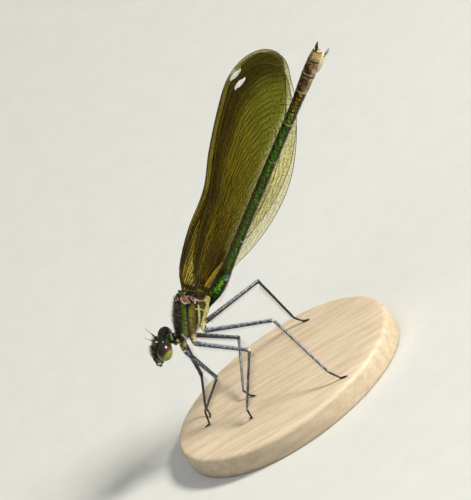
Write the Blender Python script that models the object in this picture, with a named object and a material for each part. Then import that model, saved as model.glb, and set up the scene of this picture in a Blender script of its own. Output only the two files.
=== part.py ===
"""A female banded demoiselle, a damselfly, as a life-size still model on a small oval base.

The insect faces -X, its left side faces -Y and +Z is up. Sizes are in millimetres and become
metres when a mesh is put into its object. In the insect's own frame the soles of its feet lie at
z = 0 and y = 0 is its middle plane. The finished model stands on z = 0, with x = 0 and y = 0
under the middle of its whole box.
"""
import math

import bmesh
import bpy
from mathutils import Matrix, Vector

MM = 0.001
GAP = 0.3            # air left between two pieces that touch on the real animal

# Base: an oval plate under the feet
BASE_CENTRE_X = 10.5
BASE_HALF_LENGTH = 15.0
BASE_HALF_WIDTH = 13.0
BASE_THICKNESS = 3.0
BASE_EDGE = 0.6
BASE_SIDES = 48
# The base's edge from bottom to top: share of the thickness, and how far it draws in
BASE_PROFILE = ((0.0, 0.35), (0.12, 0.10), (0.35, 0.0), (0.80, 0.0), (0.94, 0.3), (1.0, 1.0))

# Head: its middle lies between the eyes
HEAD_MIDDLE = Vector((1.59, 0.0, 11.44))
HEAD_PITCH = math.radians(34.6)      # the face looks forwards and up by this angle
EYE_OUT = 1.85                       # from the middle plane to the middle of an eye
EYE_BACK = 0.235
EYE_HALF = (0.92, 1.05, 1.14)        # half length, half width and half height
# Head outline in the middle plane: degrees round from the face (90 is the crown), reach,
# and how far the head is wide in that direction
HEAD_OUTLINE = (
    (0, 1.20, 1.65), (40, 1.12, 1.60), (90, 0.98, 1.60), (140, 0.95, 1.60), (180, 0.88, 1.50),
    (230, 1.10, 1.25), (270, 1.45, 1.12), (300, 1.72, 1.12), (322, 1.75, 1.20), (343, 1.50, 1.45),
)
HEAD_HALF_WIDTH = 1.75
HEAD_SLICES = 14
HEAD_SIDES = 30
HEAD_CORE = 0.62                     # the head is at least this thick between the eyes
NOSE_PLACE = (1.08, -0.72, 0.0)      # places on the head are ahead, up and to the side
NOSE_HALF = (0.55, 0.85, 0.55)
OCELLUS_SIZE = 0.16
OCELLI = ((0.62, 0.78, 0.0), (0.22, 0.98, -0.36), (0.22, 0.98, 0.36))
ANTENNA_ROOT = (0.90, 0.55, 0.58)
ANTENNA_DIRECTION = (0.88, 0.60, 0.42)
ANTENNA_LENGTH = 1.75
ANTENNA_ROOT_RADIUS = 0.25
# Distance from the root and share of the root's radius
ANTENNA_STEPS = ((-0.15, 1.0), (0.25, 1.0), (0.55, 0.9), (0.62, 0.62), (1.1, 0.5), (ANTENNA_LENGTH, 0.22))
# Lips: ahead, up, half width and half depth, and the direction in which they are thick
LABRUM_RINGS = (
    (1.24, -1.22, 0.66, 0.24), (1.14, -1.58, 0.82, 0.30), (0.98, -1.98, 0.74, 0.30),
    (0.82, -2.34, 0.42, 0.20),
)
LABRUM_DEPTH = (0.95, -0.30)
LABIUM_RINGS = (
    (-0.42, -1.15, 0.50, 0.24), (-0.18, -1.75, 0.74, 0.32), (0.06, -2.22, 0.80, 0.36),
    (0.28, -2.62, 0.62, 0.30), (0.40, -2.88, 0.34, 0.18),
)
LABIUM_DEPTH = (0.89, 0.45)
LIP_SIDES = 16

# Prothorax: the collar between head and thorax, which carries the front legs
PROTHORAX_FRONT = Vector((2.72, 0.0, 11.32))
PROTHORAX_REAR = Vector((4.00, 0.0, 11.05))
PROTHORAX_HALF = (1.02, 0.92, 0.98)  # half width, reach above and reach below
PROTHORAX_SIDES = 20
# Share of the length and of the size
PROTHORAX_SWELL = (
    (0.0, 0.55), (0.12, 0.78), (0.28, 0.86), (0.42, 0.80), (0.62, 0.98), (0.80, 1.0), (0.92, 0.92),
    (1.0, 0.70),
)

# Thorax: stations along an axis that rises towards the abdomen
THORAX_START = Vector((3.3, 0.0, 11.0))
THORAX_PITCH = math.radians(20.0)
# distance along the axis, top, widest level, bottom (all above the axis), half width
THORAX_STATIONS = (
    (0.62, 0.40, -0.10, -0.48, 0.45),
    (0.95, 0.95, -0.05, -0.80, 0.95),
    (1.60, 1.62, 0.05, -0.98, 1.30),
    (2.90, 2.62, 0.35, -1.06, 1.58),
    (4.30, 3.42, 0.75, -1.04, 1.66),
    (5.40, 3.48, 1.05, -0.78, 1.55),
    (6.30, 2.98, 1.10, -0.42, 1.40),
    (7.00, 2.30, 1.00, -0.10, 1.20),
    (7.45, 1.75, 0.90, 0.15, 0.85),
)
THORAX_RINGS = 18
THORAX_SIDES = 24
# Swellings under the wings' hinges: distance along the thorax, height over its axis and to the side
WING_BOSSES = ((5.75, 2.98, 0.62), (6.90, 1.27, 1.13))
WING_BOSS_HALF = (0.72, 0.45, 0.55)

# Abdomen: lengths of its ten segments, and half height and half width along it
ABDOMEN_START = Vector((9.85, 0.0, 13.2))
SEGMENT_LENGTHS = (1.1, 2.2, 5.4, 5.7, 5.7, 5.35, 4.65, 2.5, 2.0, 1.2)
ABDOMEN_PITCH = ((0.0, 27.0), (3.0, 34.8), (25.0, 35.0), (35.8, 37.0))
ABDOMEN_HALF_HEIGHT = (
    (0.0, 0.95), (1.1, 0.98), (3.3, 0.82), (6.0, 0.68), (20.0, 0.65), (27.0, 0.66), (30.1, 0.72),
    (32.6, 0.78), (34.6, 0.71), (35.8, 0.52),
)
ABDOMEN_WIDTH_RATIO = 0.92
ABDOMEN_SIDES = 14
ABDOMEN_STEP = 0.25
# Share of a segment's length and of its size: a slight waist and a raised rear rim
SEGMENT_SHAPE = (
    (0.0, 0.88), (0.07, 0.97), (0.25, 1.0), (0.55, 0.97), (0.82, 1.0), (0.94, 1.04), (1.0, 0.94),
)
CERCUS_LENGTH = 0.95
CERCUS_INSIDE = 0.3                  # how far its root starts inside the last segment
CERCUS_UP = 0.24
CERCUS_OUT = 0.30
CERCUS_RADII = (0.25, 0.24, 0.10)
OVIPOSITOR_FROM = 32.9
OVIPOSITOR_TO = 35.6
OVIPOSITOR_DROP = 0.70               # its middle below the abdomen's
OVIPOSITOR_HALF = (0.50, 0.50, 0.52)
OVIPOSITOR_SIDES = 12
OVIPOSITOR_SWELL = ((0.0, 0.35), (0.15, 0.8), (0.4, 1.0), (0.7, 1.0), (0.9, 0.7), (1.0, 0.35))
PALP_ROOT = (-0.5, -0.95, 0.2)       # the blade's two feelers: along, up and out from its end
PALP_REACH = (1.05, -0.25, 0.12)
PALP_RADII = (0.22, 0.18, 0.10)
PALP_SIDES = 6

# Wings: angle of a wing's long axis above the floor, and the two roots on the thorax
WING_PITCH = math.radians(36.0)
FOREWING_ROOT = Vector((8.3, 0.0, 16.2))
HINDWING_ROOT = Vector((9.9, 0.0, 15.4))
# Outlines as (along, across) from the root, across counted towards the leading edge
FOREWING_LEADING = (
    (-1.1, 0.10), (0.2, 0.75), (2.0, 1.60), (7.0, 2.32), (12.9, 2.45), (18.0, 3.58), (24.0, 4.52),
    (27.8, 4.80), (30.7, 4.15), (32.3, 3.15), (33.05, 2.15), (33.25, 1.2),
)
FOREWING_TRAILING = (
    (33.25, 1.2), (33.05, 0.3), (32.2, -0.6), (30.2, -1.6), (26.3, -3.05), (21.5, -4.10), (17.0, -4.50),
    (13.0, -4.30), (8.0, -3.40), (4.2, -2.25), (2.2, -1.45),
)
HINDWING_LEADING = (
    (-1.1, 0.10), (0.2, 0.85), (2.0, 1.75), (7.0, 2.75), (11.8, 3.25), (17.0, 4.45), (23.0, 5.40),
    (26.6, 5.65), (29.3, 5.05), (30.8, 4.10), (31.5, 3.10), (31.7, 2.1),
)
HINDWING_TRAILING = (
    (31.7, 2.1), (31.5, 1.2), (30.7, 0.25), (28.9, -0.85), (25.7, -2.65), (21.6, -4.00), (17.3, -4.75),
    (12.7, -4.60), (8.2, -3.65), (4.6, -2.30), (2.4, -1.35),
)
WING_ROOT_HALF = 0.55                # half depth of a wing at its root
MEMBRANE_HALF = 0.20                 # half thickness between the veins
VEIN_HALF = 0.30                     # half thickness at a vein
MARGIN_HALF = 0.24                   # half thickness at the outer edge
WING_VEINS = 9
WING_STATIONS = 20
VEIN_ARCH = 0.9                      # how far the inner veins bow towards the leading edge
# Where the inner pair of wings lies: distance from the middle plane against height over a plane
# that rises with the abdomen
WING_LEAN_PITCH = math.radians(35.0)
WING_TOP_HEIGHT = 6.8
WING_LOW_HEIGHT = 0.7
WING_TOP_Y = 0.46
WING_LOW_Y = 1.24
WING_LAYER = 0.9                     # from the inner wing's middle to the outer wing's
ROOT_BLEND = 4.0                     # length over which a wing leaves its root's place
FOREWING_ROOT_Y = 0.62
HINDWING_ROOT_Y = 1.38

# Legs: trochanter, knee, ankle and toe on each side, left at -Y
COXA_RADII = (0.46, 0.50, 0.37)
FEMUR_RADII = (0.34, 0.31, 0.28)
TIBIA_RADII = (0.27, 0.25, 0.25)
TARSUS_RADII = (0.25, 0.24, 0.16)
COXA_SIDES = 10
LEG_SIDES = 8
SOLE_SHARE = 0.55                    # where the foot bends flat, between ankle and toe
SOLE_LIFT = 0.04
LEGS = {
    "front_left": ((3.75, -0.35, 10.75), (3.42, -0.80, 9.60), (4.80, -1.80, 4.90), (0.80, -1.20, 1.60),
                   (-0.20, -1.20, 0.14)),
    "front_right": ((3.75, 0.35, 10.75), (3.42, 0.80, 9.60), (2.35, 1.65, 4.60), (0.25, 1.65, 0.75),
                    (0.35, 0.50, 0.14)),
    "middle_left": ((5.45, -0.60, 11.15), (5.02, -1.00, 9.85), (10.8, -4.00, 6.90), (6.60, -5.90, 1.30),
                    (6.10, -5.30, 0.14)),
    "middle_right": ((5.45, 0.60, 11.15), (5.02, 1.00, 9.85), (7.70, 5.20, 4.60), (5.70, 0.10, 0.75),
                     (6.70, -0.70, 0.14)),
    "hind_left": ((7.30, -0.60, 11.80), (7.00, -1.00, 10.60), (15.4, -3.90, 8.60), (18.15, -8.20, 1.20),
                  (19.7, -8.80, 0.14)),
    "hind_right": ((7.30, 0.60, 11.80), (7.00, 1.00, 10.60), (13.3, 7.20, 8.70), (13.0, 10.1, 0.75),
                   (14.4, 9.60, 0.14)),
}

SIDES = (("left", -1.0), ("right", 1.0))
X_AXIS, Y_AXIS, Z_AXIS = Vector((1, 0, 0)), Vector((0, 1, 0)), Vector((0, 0, 1))
END_TURNS = (math.radians(35), math.radians(65))     # where the two rings of a rounded end lie
SHARP_ANGLE = math.radians(35)


def clear_scene():
    for item in list(bpy.data.objects):
        bpy.data.objects.remove(item, do_unlink=True)


def paint(name, color, roughness, metallic=0.0):
    material = bpy.data.materials.new(name)
    material.use_nodes = True
    shader = material.node_tree.nodes["Principled BSDF"]
    shader.inputs["Base Color"].default_value = (*color, 1.0)
    shader.inputs["Roughness"].default_value = roughness
    shader.inputs["Metallic"].default_value = metallic
    return material


def make_paints():
    return {
        "green": paint("green_bronze", (0.10, 0.22, 0.03), 0.30, 0.8),
        "head": paint("dark_bronze", (0.04, 0.045, 0.015), 0.35, 0.6),
        "eye": paint("eye_brown", (0.12, 0.03, 0.015), 0.12),
        "abdomen": paint("emerald", (0.02, 0.16, 0.04), 0.28, 0.9),
        "tail": paint("pale_brown", (0.35, 0.24, 0.08), 0.40, 0.4),
        "leg": paint("blue_grey", (0.09, 0.10, 0.12), 0.45),
        "coxa": paint("cream", (0.70, 0.62, 0.30), 0.50),
        "wing": paint("olive_gold", (0.30, 0.27, 0.04), 0.30),
        "base": paint("pale_wood", (0.62, 0.52, 0.38), 0.55),
    }


def value_at(stations, place, column=1):
    """One column of a table of stations at a place between them, eased smoothly."""
    places = [row[0] for row in stations]
    if place <= places[0]:
        return stations[0][column]
    if place >= places[-1]:
        return stations[-1][column]
    count = len(stations)
    index = max(i for i in range(count - 1) if places[i] <= place)

    def slope(i):
        low, high = max(i - 1, 0), min(i + 1, count - 1)
        return (stations[high][column] - stations[low][column]) / (places[high] - places[low])

    span = places[index + 1] - places[index]
    t = (place - places[index]) / span
    start, end = stations[index][column], stations[index + 1][column]
    return ((2 * t**3 - 3 * t**2 + 1) * start + (t**3 - 2 * t**2 + t) * span * slope(index)
            + (3 * t**2 - 2 * t**3) * end + (t**3 - t**2) * span * slope(index + 1))


def along_curve(points, share):
    """The point at a share of the length of a smooth curve through the points."""
    points = [Vector(p) for p in points]
    lengths = [0.0]
    for first, second in zip(points, points[1:]):
        lengths.append(lengths[-1] + (second - first).length)
    goal = share * lengths[-1]
    return Vector([
        value_at([(length, point[axis]) for length, point in zip(lengths, points)], goal)
        for axis in range(len(points[0]))
    ])


def face_out(form):
    """Turns all faces of a closed form outwards."""
    form.normal_update()
    bmesh.ops.recalc_face_normals(form, faces=form.faces)
    if form.calc_volume(signed=True) < 0:
        bmesh.ops.reverse_faces(form, faces=form.faces)


def mesh_object(name, vertices, faces):
    mesh = bpy.data.meshes.new(name)
    mesh.from_pydata([tuple(v) for v in vertices], [], faces)
    form = bmesh.new()
    form.from_mesh(mesh)
    face_out(form)
    form.to_mesh(mesh)
    form.free()
    item = bpy.data.objects.new(name, mesh)
    bpy.context.scene.collection.objects.link(item)
    return item


def loft(name, rings):
    """A closed skin over rings of equal count, each end closed by a fan round its middle."""
    sides = len(rings[0])
    vertices = [point for ring in rings for point in ring]
    faces = []
    for row in range(len(rings) - 1):
        for step in range(sides):
            after = (step + 1) % sides
            low, high = row * sides, (row + 1) * sides
            faces.append((low + step, low + after, high + after, high + step))
    for row in (0, len(rings) - 1):
        middle = len(vertices)
        vertices.append(sum(rings[row], Vector()) / sides)
        faces += [(row * sides + step, row * sides + (step + 1) % sides, middle) for step in range(sides)]
    return mesh_object(name, vertices, faces)


def ring(centre, up, side, half_width, rise, drop, sides):
    """A rounded ring with its own reach above and below its widest level."""
    points = []
    for step in range(sides):
        angle = math.tau * step / sides
        height = math.cos(angle)
        reach = rise if height > 0 else drop
        points.append(centre + side * (half_width * math.sin(angle)) + up * (reach * height))
    return points


def tube(name, points, radii, sides):
    """A round bar through the points, with a radius at each and rounded ends."""
    centres, sizes, directions = list(points), list(radii), []
    for index in range(len(points)):
        before, after = points[max(index - 1, 0)], points[min(index + 1, len(points) - 1)]
        directions.append((after - before).normalized())
    for turn in END_TURNS:
        back = directions[0] * (-math.sin(turn) * radii[0])
        ahead = directions[-1] * (math.sin(turn) * radii[-1])
        centres = [points[0] + back] + centres + [points[-1] + ahead]
        sizes = [radii[0] * math.cos(turn)] + sizes + [radii[-1] * math.cos(turn)]
        directions = [directions[0]] + directions + [directions[-1]]
    side = directions[0].orthogonal().normalized()
    rings = []
    for centre, size, direction in zip(centres, sizes, directions):
        side = (side - direction * side.dot(direction)).normalized()
        up = direction.cross(side)
        rings.append(ring(centre, up, side, size, size, size, sides))
    return loft(name, rings)


def egg(name, centre, axes, halves, around=16, rings=10):
    """An ellipsoid with its three half sizes along the given axes; its poles lie on the last one."""
    form = bmesh.new()
    bmesh.ops.create_uvsphere(form, u_segments=around, v_segments=rings, radius=1.0)
    for vertex in form.verts:
        place = vertex.co.copy()
        vertex.co = centre + sum((axis * (half * part) for axis, half, part in zip(axes, halves, place)),
                                 Vector())
    mesh = bpy.data.meshes.new(name)
    face_out(form)
    form.to_mesh(mesh)
    form.free()
    item = bpy.data.objects.new(name, mesh)
    bpy.context.scene.collection.objects.link(item)
    return item


def drop_object(item):
    bpy.data.objects.remove(item, do_unlink=True)


def keep_largest(mesh):
    """Keeps only the closed surface that holds the most room."""
    form = bmesh.new()
    form.from_mesh(mesh)
    left = set(form.faces)
    groups = []
    while left:
        seed = left.pop()
        group, edge_of_group = {seed}, [seed]
        while edge_of_group:
            face = edge_of_group.pop()
            for edge in face.edges:
                for other in edge.link_faces:
                    if other in left:
                        left.remove(other)
                        group.add(other)
                        edge_of_group.append(other)
        groups.append(group)
    if len(groups) > 1:
        def room(group):
            return abs(sum(f.calc_center_median().dot(f.normal) * f.calc_area() for f in group))
        best = max(groups, key=room)
        spare = [f for f in form.faces if f not in best]
        bmesh.ops.delete(form, geom=spare, context="FACES")
        loose = [v for v in form.verts if not v.link_faces]
        bmesh.ops.delete(form, geom=loose, context="VERTS")
    form.to_mesh(mesh)
    form.free()


def apply_modifier(item):
    """Puts the shape that an object's modifiers give into its own mesh."""
    bpy.context.view_layer.update()
    graph = bpy.context.evaluated_depsgraph_get()
    shaped = bpy.data.meshes.new_from_object(item.evaluated_get(graph))
    item.modifiers.clear()
    item.data = shaped
    keep_largest(shaped)


def fuse(item, additions):
    """Joins the additions to an object with one union."""
    group = bpy.data.collections.new("fused")
    bpy.context.scene.collection.children.link(group)
    for addition in additions:
        group.objects.link(addition)
    union = item.modifiers.new("union", "BOOLEAN")
    union.operation = "UNION"
    union.operand_type = "COLLECTION"
    union.collection = group
    apply_modifier(item)
    for addition in additions:
        drop_object(addition)
    bpy.data.collections.remove(group)


def swollen(item, amount):
    """A copy of an object, grown by an amount along its normals."""
    mesh = item.data.copy()
    form = bmesh.new()
    form.from_mesh(mesh)
    form.normal_update()
    for vertex in form.verts:
        vertex.co += vertex.normal * (amount * vertex.calc_shell_factor())
    form.to_mesh(mesh)
    form.free()
    copy = bpy.data.objects.new("cutter", mesh)
    bpy.context.scene.collection.objects.link(copy)
    return copy


def trim(item, neighbours, solver="EXACT"):
    """Cuts an object back until it clears its neighbours by the gap."""
    for neighbour in neighbours:
        cutter = swollen(neighbour, GAP)
        cut = item.modifiers.new("cut", "BOOLEAN")
        cut.operation = "DIFFERENCE"
        cut.solver = solver
        cut.object = cutter
        apply_modifier(item)
        drop_object(cutter)


def head_place(forward, up, side):
    """A point given in the head's own directions."""
    ahead = Vector((-math.cos(HEAD_PITCH), 0.0, math.sin(HEAD_PITCH)))
    crown = Vector((math.sin(HEAD_PITCH), 0.0, math.cos(HEAD_PITCH)))
    return HEAD_MIDDLE + ahead * forward + crown * up + Vector((0.0, side, 0.0))


def head_direction(forward, up, side=0.0):
    return (head_place(forward, up, side) - HEAD_MIDDLE).normalized()


def make_eye(sign):
    axes = (head_direction(1, 0), Y_AXIS, head_direction(0, 1))
    return egg("eye", head_place(-EYE_BACK, 0.0, sign * EYE_OUT), axes, EYE_HALF, 20, 14)


def make_head(eyes):
    outline = HEAD_OUTLINE + ((360, *HEAD_OUTLINE[0][1:]),)
    rings = []
    for row in range(1, HEAD_SLICES):
        across = -HEAD_HALF_WIDTH * math.cos(math.pi * row / HEAD_SLICES)
        points = []
        for step in range(HEAD_SIDES):
            degrees = 360.0 * step / HEAD_SIDES
            reach = value_at(outline, degrees, 1)
            width = value_at(outline, degrees, 2)
            fall = math.sqrt(max(1.0 - (across / width) ** 2, 0.0))
            core = HEAD_CORE * math.sqrt(1.0 - (across / HEAD_HALF_WIDTH) ** 2)
            reach = max(reach * fall, core)
            angle = math.radians(degrees)
            points.append(head_place(reach * math.cos(angle), reach * math.sin(angle), across))
        rings.append(points)
    head = loft("head", rings)
    axes = (X_AXIS, Y_AXIS, Z_AXIS)
    nose = egg("nose", head_place(*NOSE_PLACE), axes, NOSE_HALF, 14, 8)
    ocelli = [egg("ocellus", head_place(*place), axes, (OCELLUS_SIZE,) * 3, 8, 6) for place in OCELLI]
    fuse(head, [nose] + ocelli)
    trim(head, eyes)
    return head


def make_lip(name, places, depth_way, neighbours):
    """A curved plate that hangs below the head."""
    up = head_direction(*depth_way)
    rings = [ring(head_place(ahead, rise, 0.0), up, Y_AXIS, half_width, depth, depth, LIP_SIDES)
             for ahead, rise, half_width, depth in places]
    lip = loft(name, rings)
    trim(lip, neighbours)
    return lip


def make_antenna(sign, head, eye):
    """Two thick joints and a fine tapering whip."""
    ahead, up, side = ANTENNA_ROOT
    root = head_place(ahead, up, sign * side)
    forward, rise, out = ANTENNA_DIRECTION
    direction = head_direction(forward, rise, sign * out)
    points = [root + direction * reach for reach, _ in ANTENNA_STEPS]
    radii = [ANTENNA_ROOT_RADIUS * share for _, share in ANTENNA_STEPS]
    antenna = tube("antenna", points, radii, LEG_SIDES)
    trim(antenna, [head, eye])
    return antenna


def make_prothorax(head):
    """A short collar of three swellings."""
    axis = (PROTHORAX_REAR - PROTHORAX_FRONT).normalized()
    up = axis.cross(Y_AXIS)
    width, rise, drop = PROTHORAX_HALF
    rings = []
    for share, size in PROTHORAX_SWELL:
        centre = PROTHORAX_FRONT.lerp(PROTHORAX_REAR, share)
        rings.append(ring(centre, up, Y_AXIS, width * size, rise * size, drop * size, PROTHORAX_SIDES))
    prothorax = loft("prothorax", rings)
    trim(prothorax, [head])
    return prothorax


def thorax_place(along, up, side=0.0):
    axis = Vector((math.cos(THORAX_PITCH), 0.0, math.sin(THORAX_PITCH)))
    rise = Vector((-math.sin(THORAX_PITCH), 0.0, math.cos(THORAX_PITCH)))
    return THORAX_START + axis * along + rise * up + Vector((0.0, side, 0.0))


def make_thorax():
    rise = thorax_place(0, 1) - thorax_place(0, 0)
    first, last = THORAX_STATIONS[0][0], THORAX_STATIONS[-1][0]
    rings = []
    for row in range(THORAX_RINGS + 1):
        along = first + (last - first) * row / THORAX_RINGS
        top, level, bottom, half = (value_at(THORAX_STATIONS, along, column) for column in (1, 2, 3, 4))
        centre = thorax_place(along, level)
        rings.append(ring(centre, rise, Y_AXIS, half, top - level, level - bottom, THORAX_SIDES))
    thorax = loft("thorax", rings)
    bosses = []
    for _, sign in SIDES:
        for along, up, out in WING_BOSSES:
            centre = thorax_place(along, up, sign * out)
            bosses.append(egg("boss", centre, (X_AXIS, Y_AXIS, Z_AXIS), WING_BOSS_HALF, 10, 8))
    fuse(thorax, bosses)
    return thorax


def abdomen_place(along):
    """Centre and direction of the abdomen at a distance along it."""
    point = ABDOMEN_START.copy()
    steps = max(int(along / ABDOMEN_STEP), 1)
    heading = math.radians(ABDOMEN_PITCH[0][1])
    for step in range(steps):
        heading = math.radians(value_at(ABDOMEN_PITCH, along * (step + 0.5) / steps))
        point += Vector((math.cos(heading), 0.0, math.sin(heading))) * (along / steps)
    return point, Vector((math.cos(heading), 0.0, math.sin(heading)))


def make_abdomen():
    """Ten segments with a gap between each and the next."""
    segments = []
    start = 0.0
    for number, length in enumerate(SEGMENT_LENGTHS, 1):
        rings = []
        for share, size in SEGMENT_SHAPE:
            along = start + GAP / 2 + (length - GAP) * share
            centre, axis = abdomen_place(along)
            half = value_at(ABDOMEN_HALF_HEIGHT, along) * size
            up = axis.cross(Y_AXIS)
            rings.append(ring(centre, up, Y_AXIS, half * ABDOMEN_WIDTH_RATIO, half, half, ABDOMEN_SIDES))
        segments.append(loft(f"abdomen_s{number}", rings))
        start += length
    return segments


def make_cercus(sign, last_segment):
    end, axis = abdomen_place(sum(SEGMENT_LENGTHS))
    up = axis.cross(Y_AXIS)
    root = end + up * CERCUS_UP + Y_AXIS * (sign * CERCUS_OUT) - axis * CERCUS_INSIDE
    tip = root + axis * (CERCUS_LENGTH + CERCUS_INSIDE) + Y_AXIS * (sign * 0.12) + up * 0.10
    cercus = tube("cercus", [root, root.lerp(tip, 0.6), tip], CERCUS_RADII, LEG_SIDES)
    trim(cercus, [last_segment])
    return cercus


def make_ovipositor(segments):
    """The egg-laying blade under the last segments, with its two short feelers."""
    rings = []
    width, rise, drop = OVIPOSITOR_HALF
    for share, size in OVIPOSITOR_SWELL:
        centre, axis = abdomen_place(OVIPOSITOR_FROM + (OVIPOSITOR_TO - OVIPOSITOR_FROM) * share)
        up = axis.cross(Y_AXIS)
        rings.append(ring(centre - up * OVIPOSITOR_DROP, up, Y_AXIS, width * size, rise * size, drop * size,
                          OVIPOSITOR_SIDES))
    blade = loft("ovipositor", rings)
    centre, axis = abdomen_place(OVIPOSITOR_TO)
    up = axis.cross(Y_AXIS)
    feelers = []
    for _, sign in SIDES:
        along, above, out = PALP_ROOT
        root = centre + axis * along + up * above + Y_AXIS * (sign * out)
        along, above, out = PALP_REACH
        tip = root + axis * along + up * above + Y_AXIS * (sign * out)
        feelers.append(tube("feeler", [root, root.lerp(tip, 0.5), tip], PALP_RADII, PALP_SIDES))
    fuse(blade, feelers)
    trim(blade, segments)
    return blade


def wing_place(root, along, across):
    """A point of a wing's own plane, as x and z in the insect's frame."""
    x = root.x + along * math.cos(WING_PITCH) - across * math.sin(WING_PITCH)
    z = root.z + along * math.sin(WING_PITCH) + across * math.cos(WING_PITCH)
    return x, z


def wing_depth(x, z, along, outer):
    """How far from the middle plane a wing lies: the pairs lean together above the abdomen."""
    height = (-(x - ABDOMEN_START.x) * math.sin(WING_LEAN_PITCH)
              + (z - ABDOMEN_START.z) * math.cos(WING_LEAN_PITCH))
    lean = min(max((WING_TOP_HEIGHT - height) / (WING_TOP_HEIGHT - WING_LOW_HEIGHT), 0.0), 1.0)
    depth = WING_TOP_Y + (WING_LOW_Y - WING_TOP_Y) * lean + (WING_LAYER if outer else 0.0)
    share = min(max(along / ROOT_BLEND, 0.0), 1.0)
    share = share * share * (3 - 2 * share)
    root_depth = HINDWING_ROOT_Y if outer else FOREWING_ROOT_Y
    return root_depth + (depth - root_depth) * share


def make_wing(root, leading, trailing, sign, outer):
    """A plate whose mesh lines follow the veins, thicker at each vein than between them."""
    rows = 2 * (WING_VEINS - 1)
    start_top, start_low = Vector(leading[0]), Vector((leading[0][0], leading[0][1] - 2 * WING_ROOT_HALF))
    apex, heel = Vector(leading[-1]), Vector(trailing[-1])
    faces, front, back = [], [], []
    for row in range(rows + 1):
        f = row / rows
        margin = along_curve(trailing, f)
        for station in range(WING_STATIONS + 1):
            s = station / WING_STATIONS
            lead = along_curve(leading, s)
            inner = start_low.lerp(heel, s)
            flat = ((1 - f) * lead + f * inner + (1 - s) * start_top.lerp(start_low, f) + s * margin
                    - (1 - s) * (1 - f) * start_top - s * (1 - f) * apex
                    - (1 - s) * f * start_low - s * f * heel)
            flat.y += VEIN_ARCH * 4 * s * (1 - s) * f * (1 - f)
            x, z = wing_place(root, flat.x, flat.y)
            depth = wing_depth(x, z, flat.x, outer)
            half = VEIN_HALF if row % 2 == 0 else MEMBRANE_HALF
            if row in (0, rows) or station == WING_STATIONS:
                half = MARGIN_HALF
            front.append(Vector((x, sign * (depth + half), z)))
            back.append(Vector((x, sign * (depth - half), z)))
    width = WING_STATIONS + 1
    count = len(front)
    for row in range(rows):
        for station in range(WING_STATIONS):
            a = row * width + station
            b, c, d = a + 1, a + width + 1, a + width
            faces += [(a, b, c), (a, c, d)]
            faces += [(count + a, count + c, count + b), (count + a, count + d, count + c)]
    rim = ([station for station in range(WING_STATIONS)]
           + [row * width + WING_STATIONS for row in range(rows)]
           + [rows * width + station for station in range(WING_STATIONS, 0, -1)]
           + [row * width for row in range(rows, 0, -1)])
    for here, after in zip(rim, rim[1:] + rim[:1]):
        faces += [(here, after, count + after), (here, count + after, count + here)]
    return mesh_object("wing", front + back, faces)


def rest_on_floor(item):
    """Flattens whatever of a foot lies below the floor."""
    for vertex in item.data.vertices:
        vertex.co.z = max(vertex.co.z, 0.0)


def make_leg(places, body):
    hip, trochanter, knee, ankle, toe = (Vector(place) for place in places)
    coxa = tube("coxa", [hip, hip.lerp(trochanter, 0.5), trochanter], COXA_RADII, COXA_SIDES)
    trim(coxa, body)
    femur = tube("femur", [trochanter, trochanter.lerp(knee, 0.5), knee], FEMUR_RADII, LEG_SIDES)
    trim(femur, [coxa])
    tibia = tube("tibia", [knee, knee.lerp(ankle, 0.5), ankle], TIBIA_RADII, LEG_SIDES)
    trim(tibia, [femur])
    sole = ankle.lerp(toe, SOLE_SHARE)
    sole.z = toe.z + SOLE_LIFT
    tarsus = tube("tarsus", [ankle, sole, toe], TARSUS_RADII, LEG_SIDES)
    trim(tarsus, [tibia])
    rest_on_floor(tarsus)
    return coxa, femur, tibia, tarsus


def make_base():
    """An oval plate with a small round edge, its top a gap below the feet."""
    rings = []
    for share, inset in BASE_PROFILE:
        edge = BASE_EDGE * inset
        z = -GAP - BASE_THICKNESS + BASE_THICKNESS * share
        points = []
        for step in range(BASE_SIDES):
            angle = math.tau * step / BASE_SIDES
            points.append(Vector((BASE_CENTRE_X + (BASE_HALF_LENGTH - edge) * math.cos(angle),
                                  (BASE_HALF_WIDTH - edge) * math.sin(angle), z)))
        rings.append(points)
    return loft("stand_base", rings)


def place(item, name, material, anchor, parent):
    """Turns a shape in millimetres into a named node in metres, with its origin at the anchor."""
    mesh = item.data
    mesh.transform(Matrix.Translation(-anchor))
    mesh.transform(Matrix.Scale(MM, 4))
    mesh.materials.clear()
    mesh.materials.append(material)
    mesh.shade_smooth()
    mesh.set_sharp_from_angle(angle=SHARP_ANGLE)
    item.name = name
    mesh.name = name
    item.location = anchor * MM
    item.parent = parent


def model_box(items):
    bpy.context.view_layer.update()
    corners = [item.matrix_world @ vertex.co for item in items for vertex in item.data.vertices]
    low = Vector([min(corner[axis] for corner in corners) for axis in range(3)])
    high = Vector([max(corner[axis] for corner in corners) for axis in range(3)])
    return low, high


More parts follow.
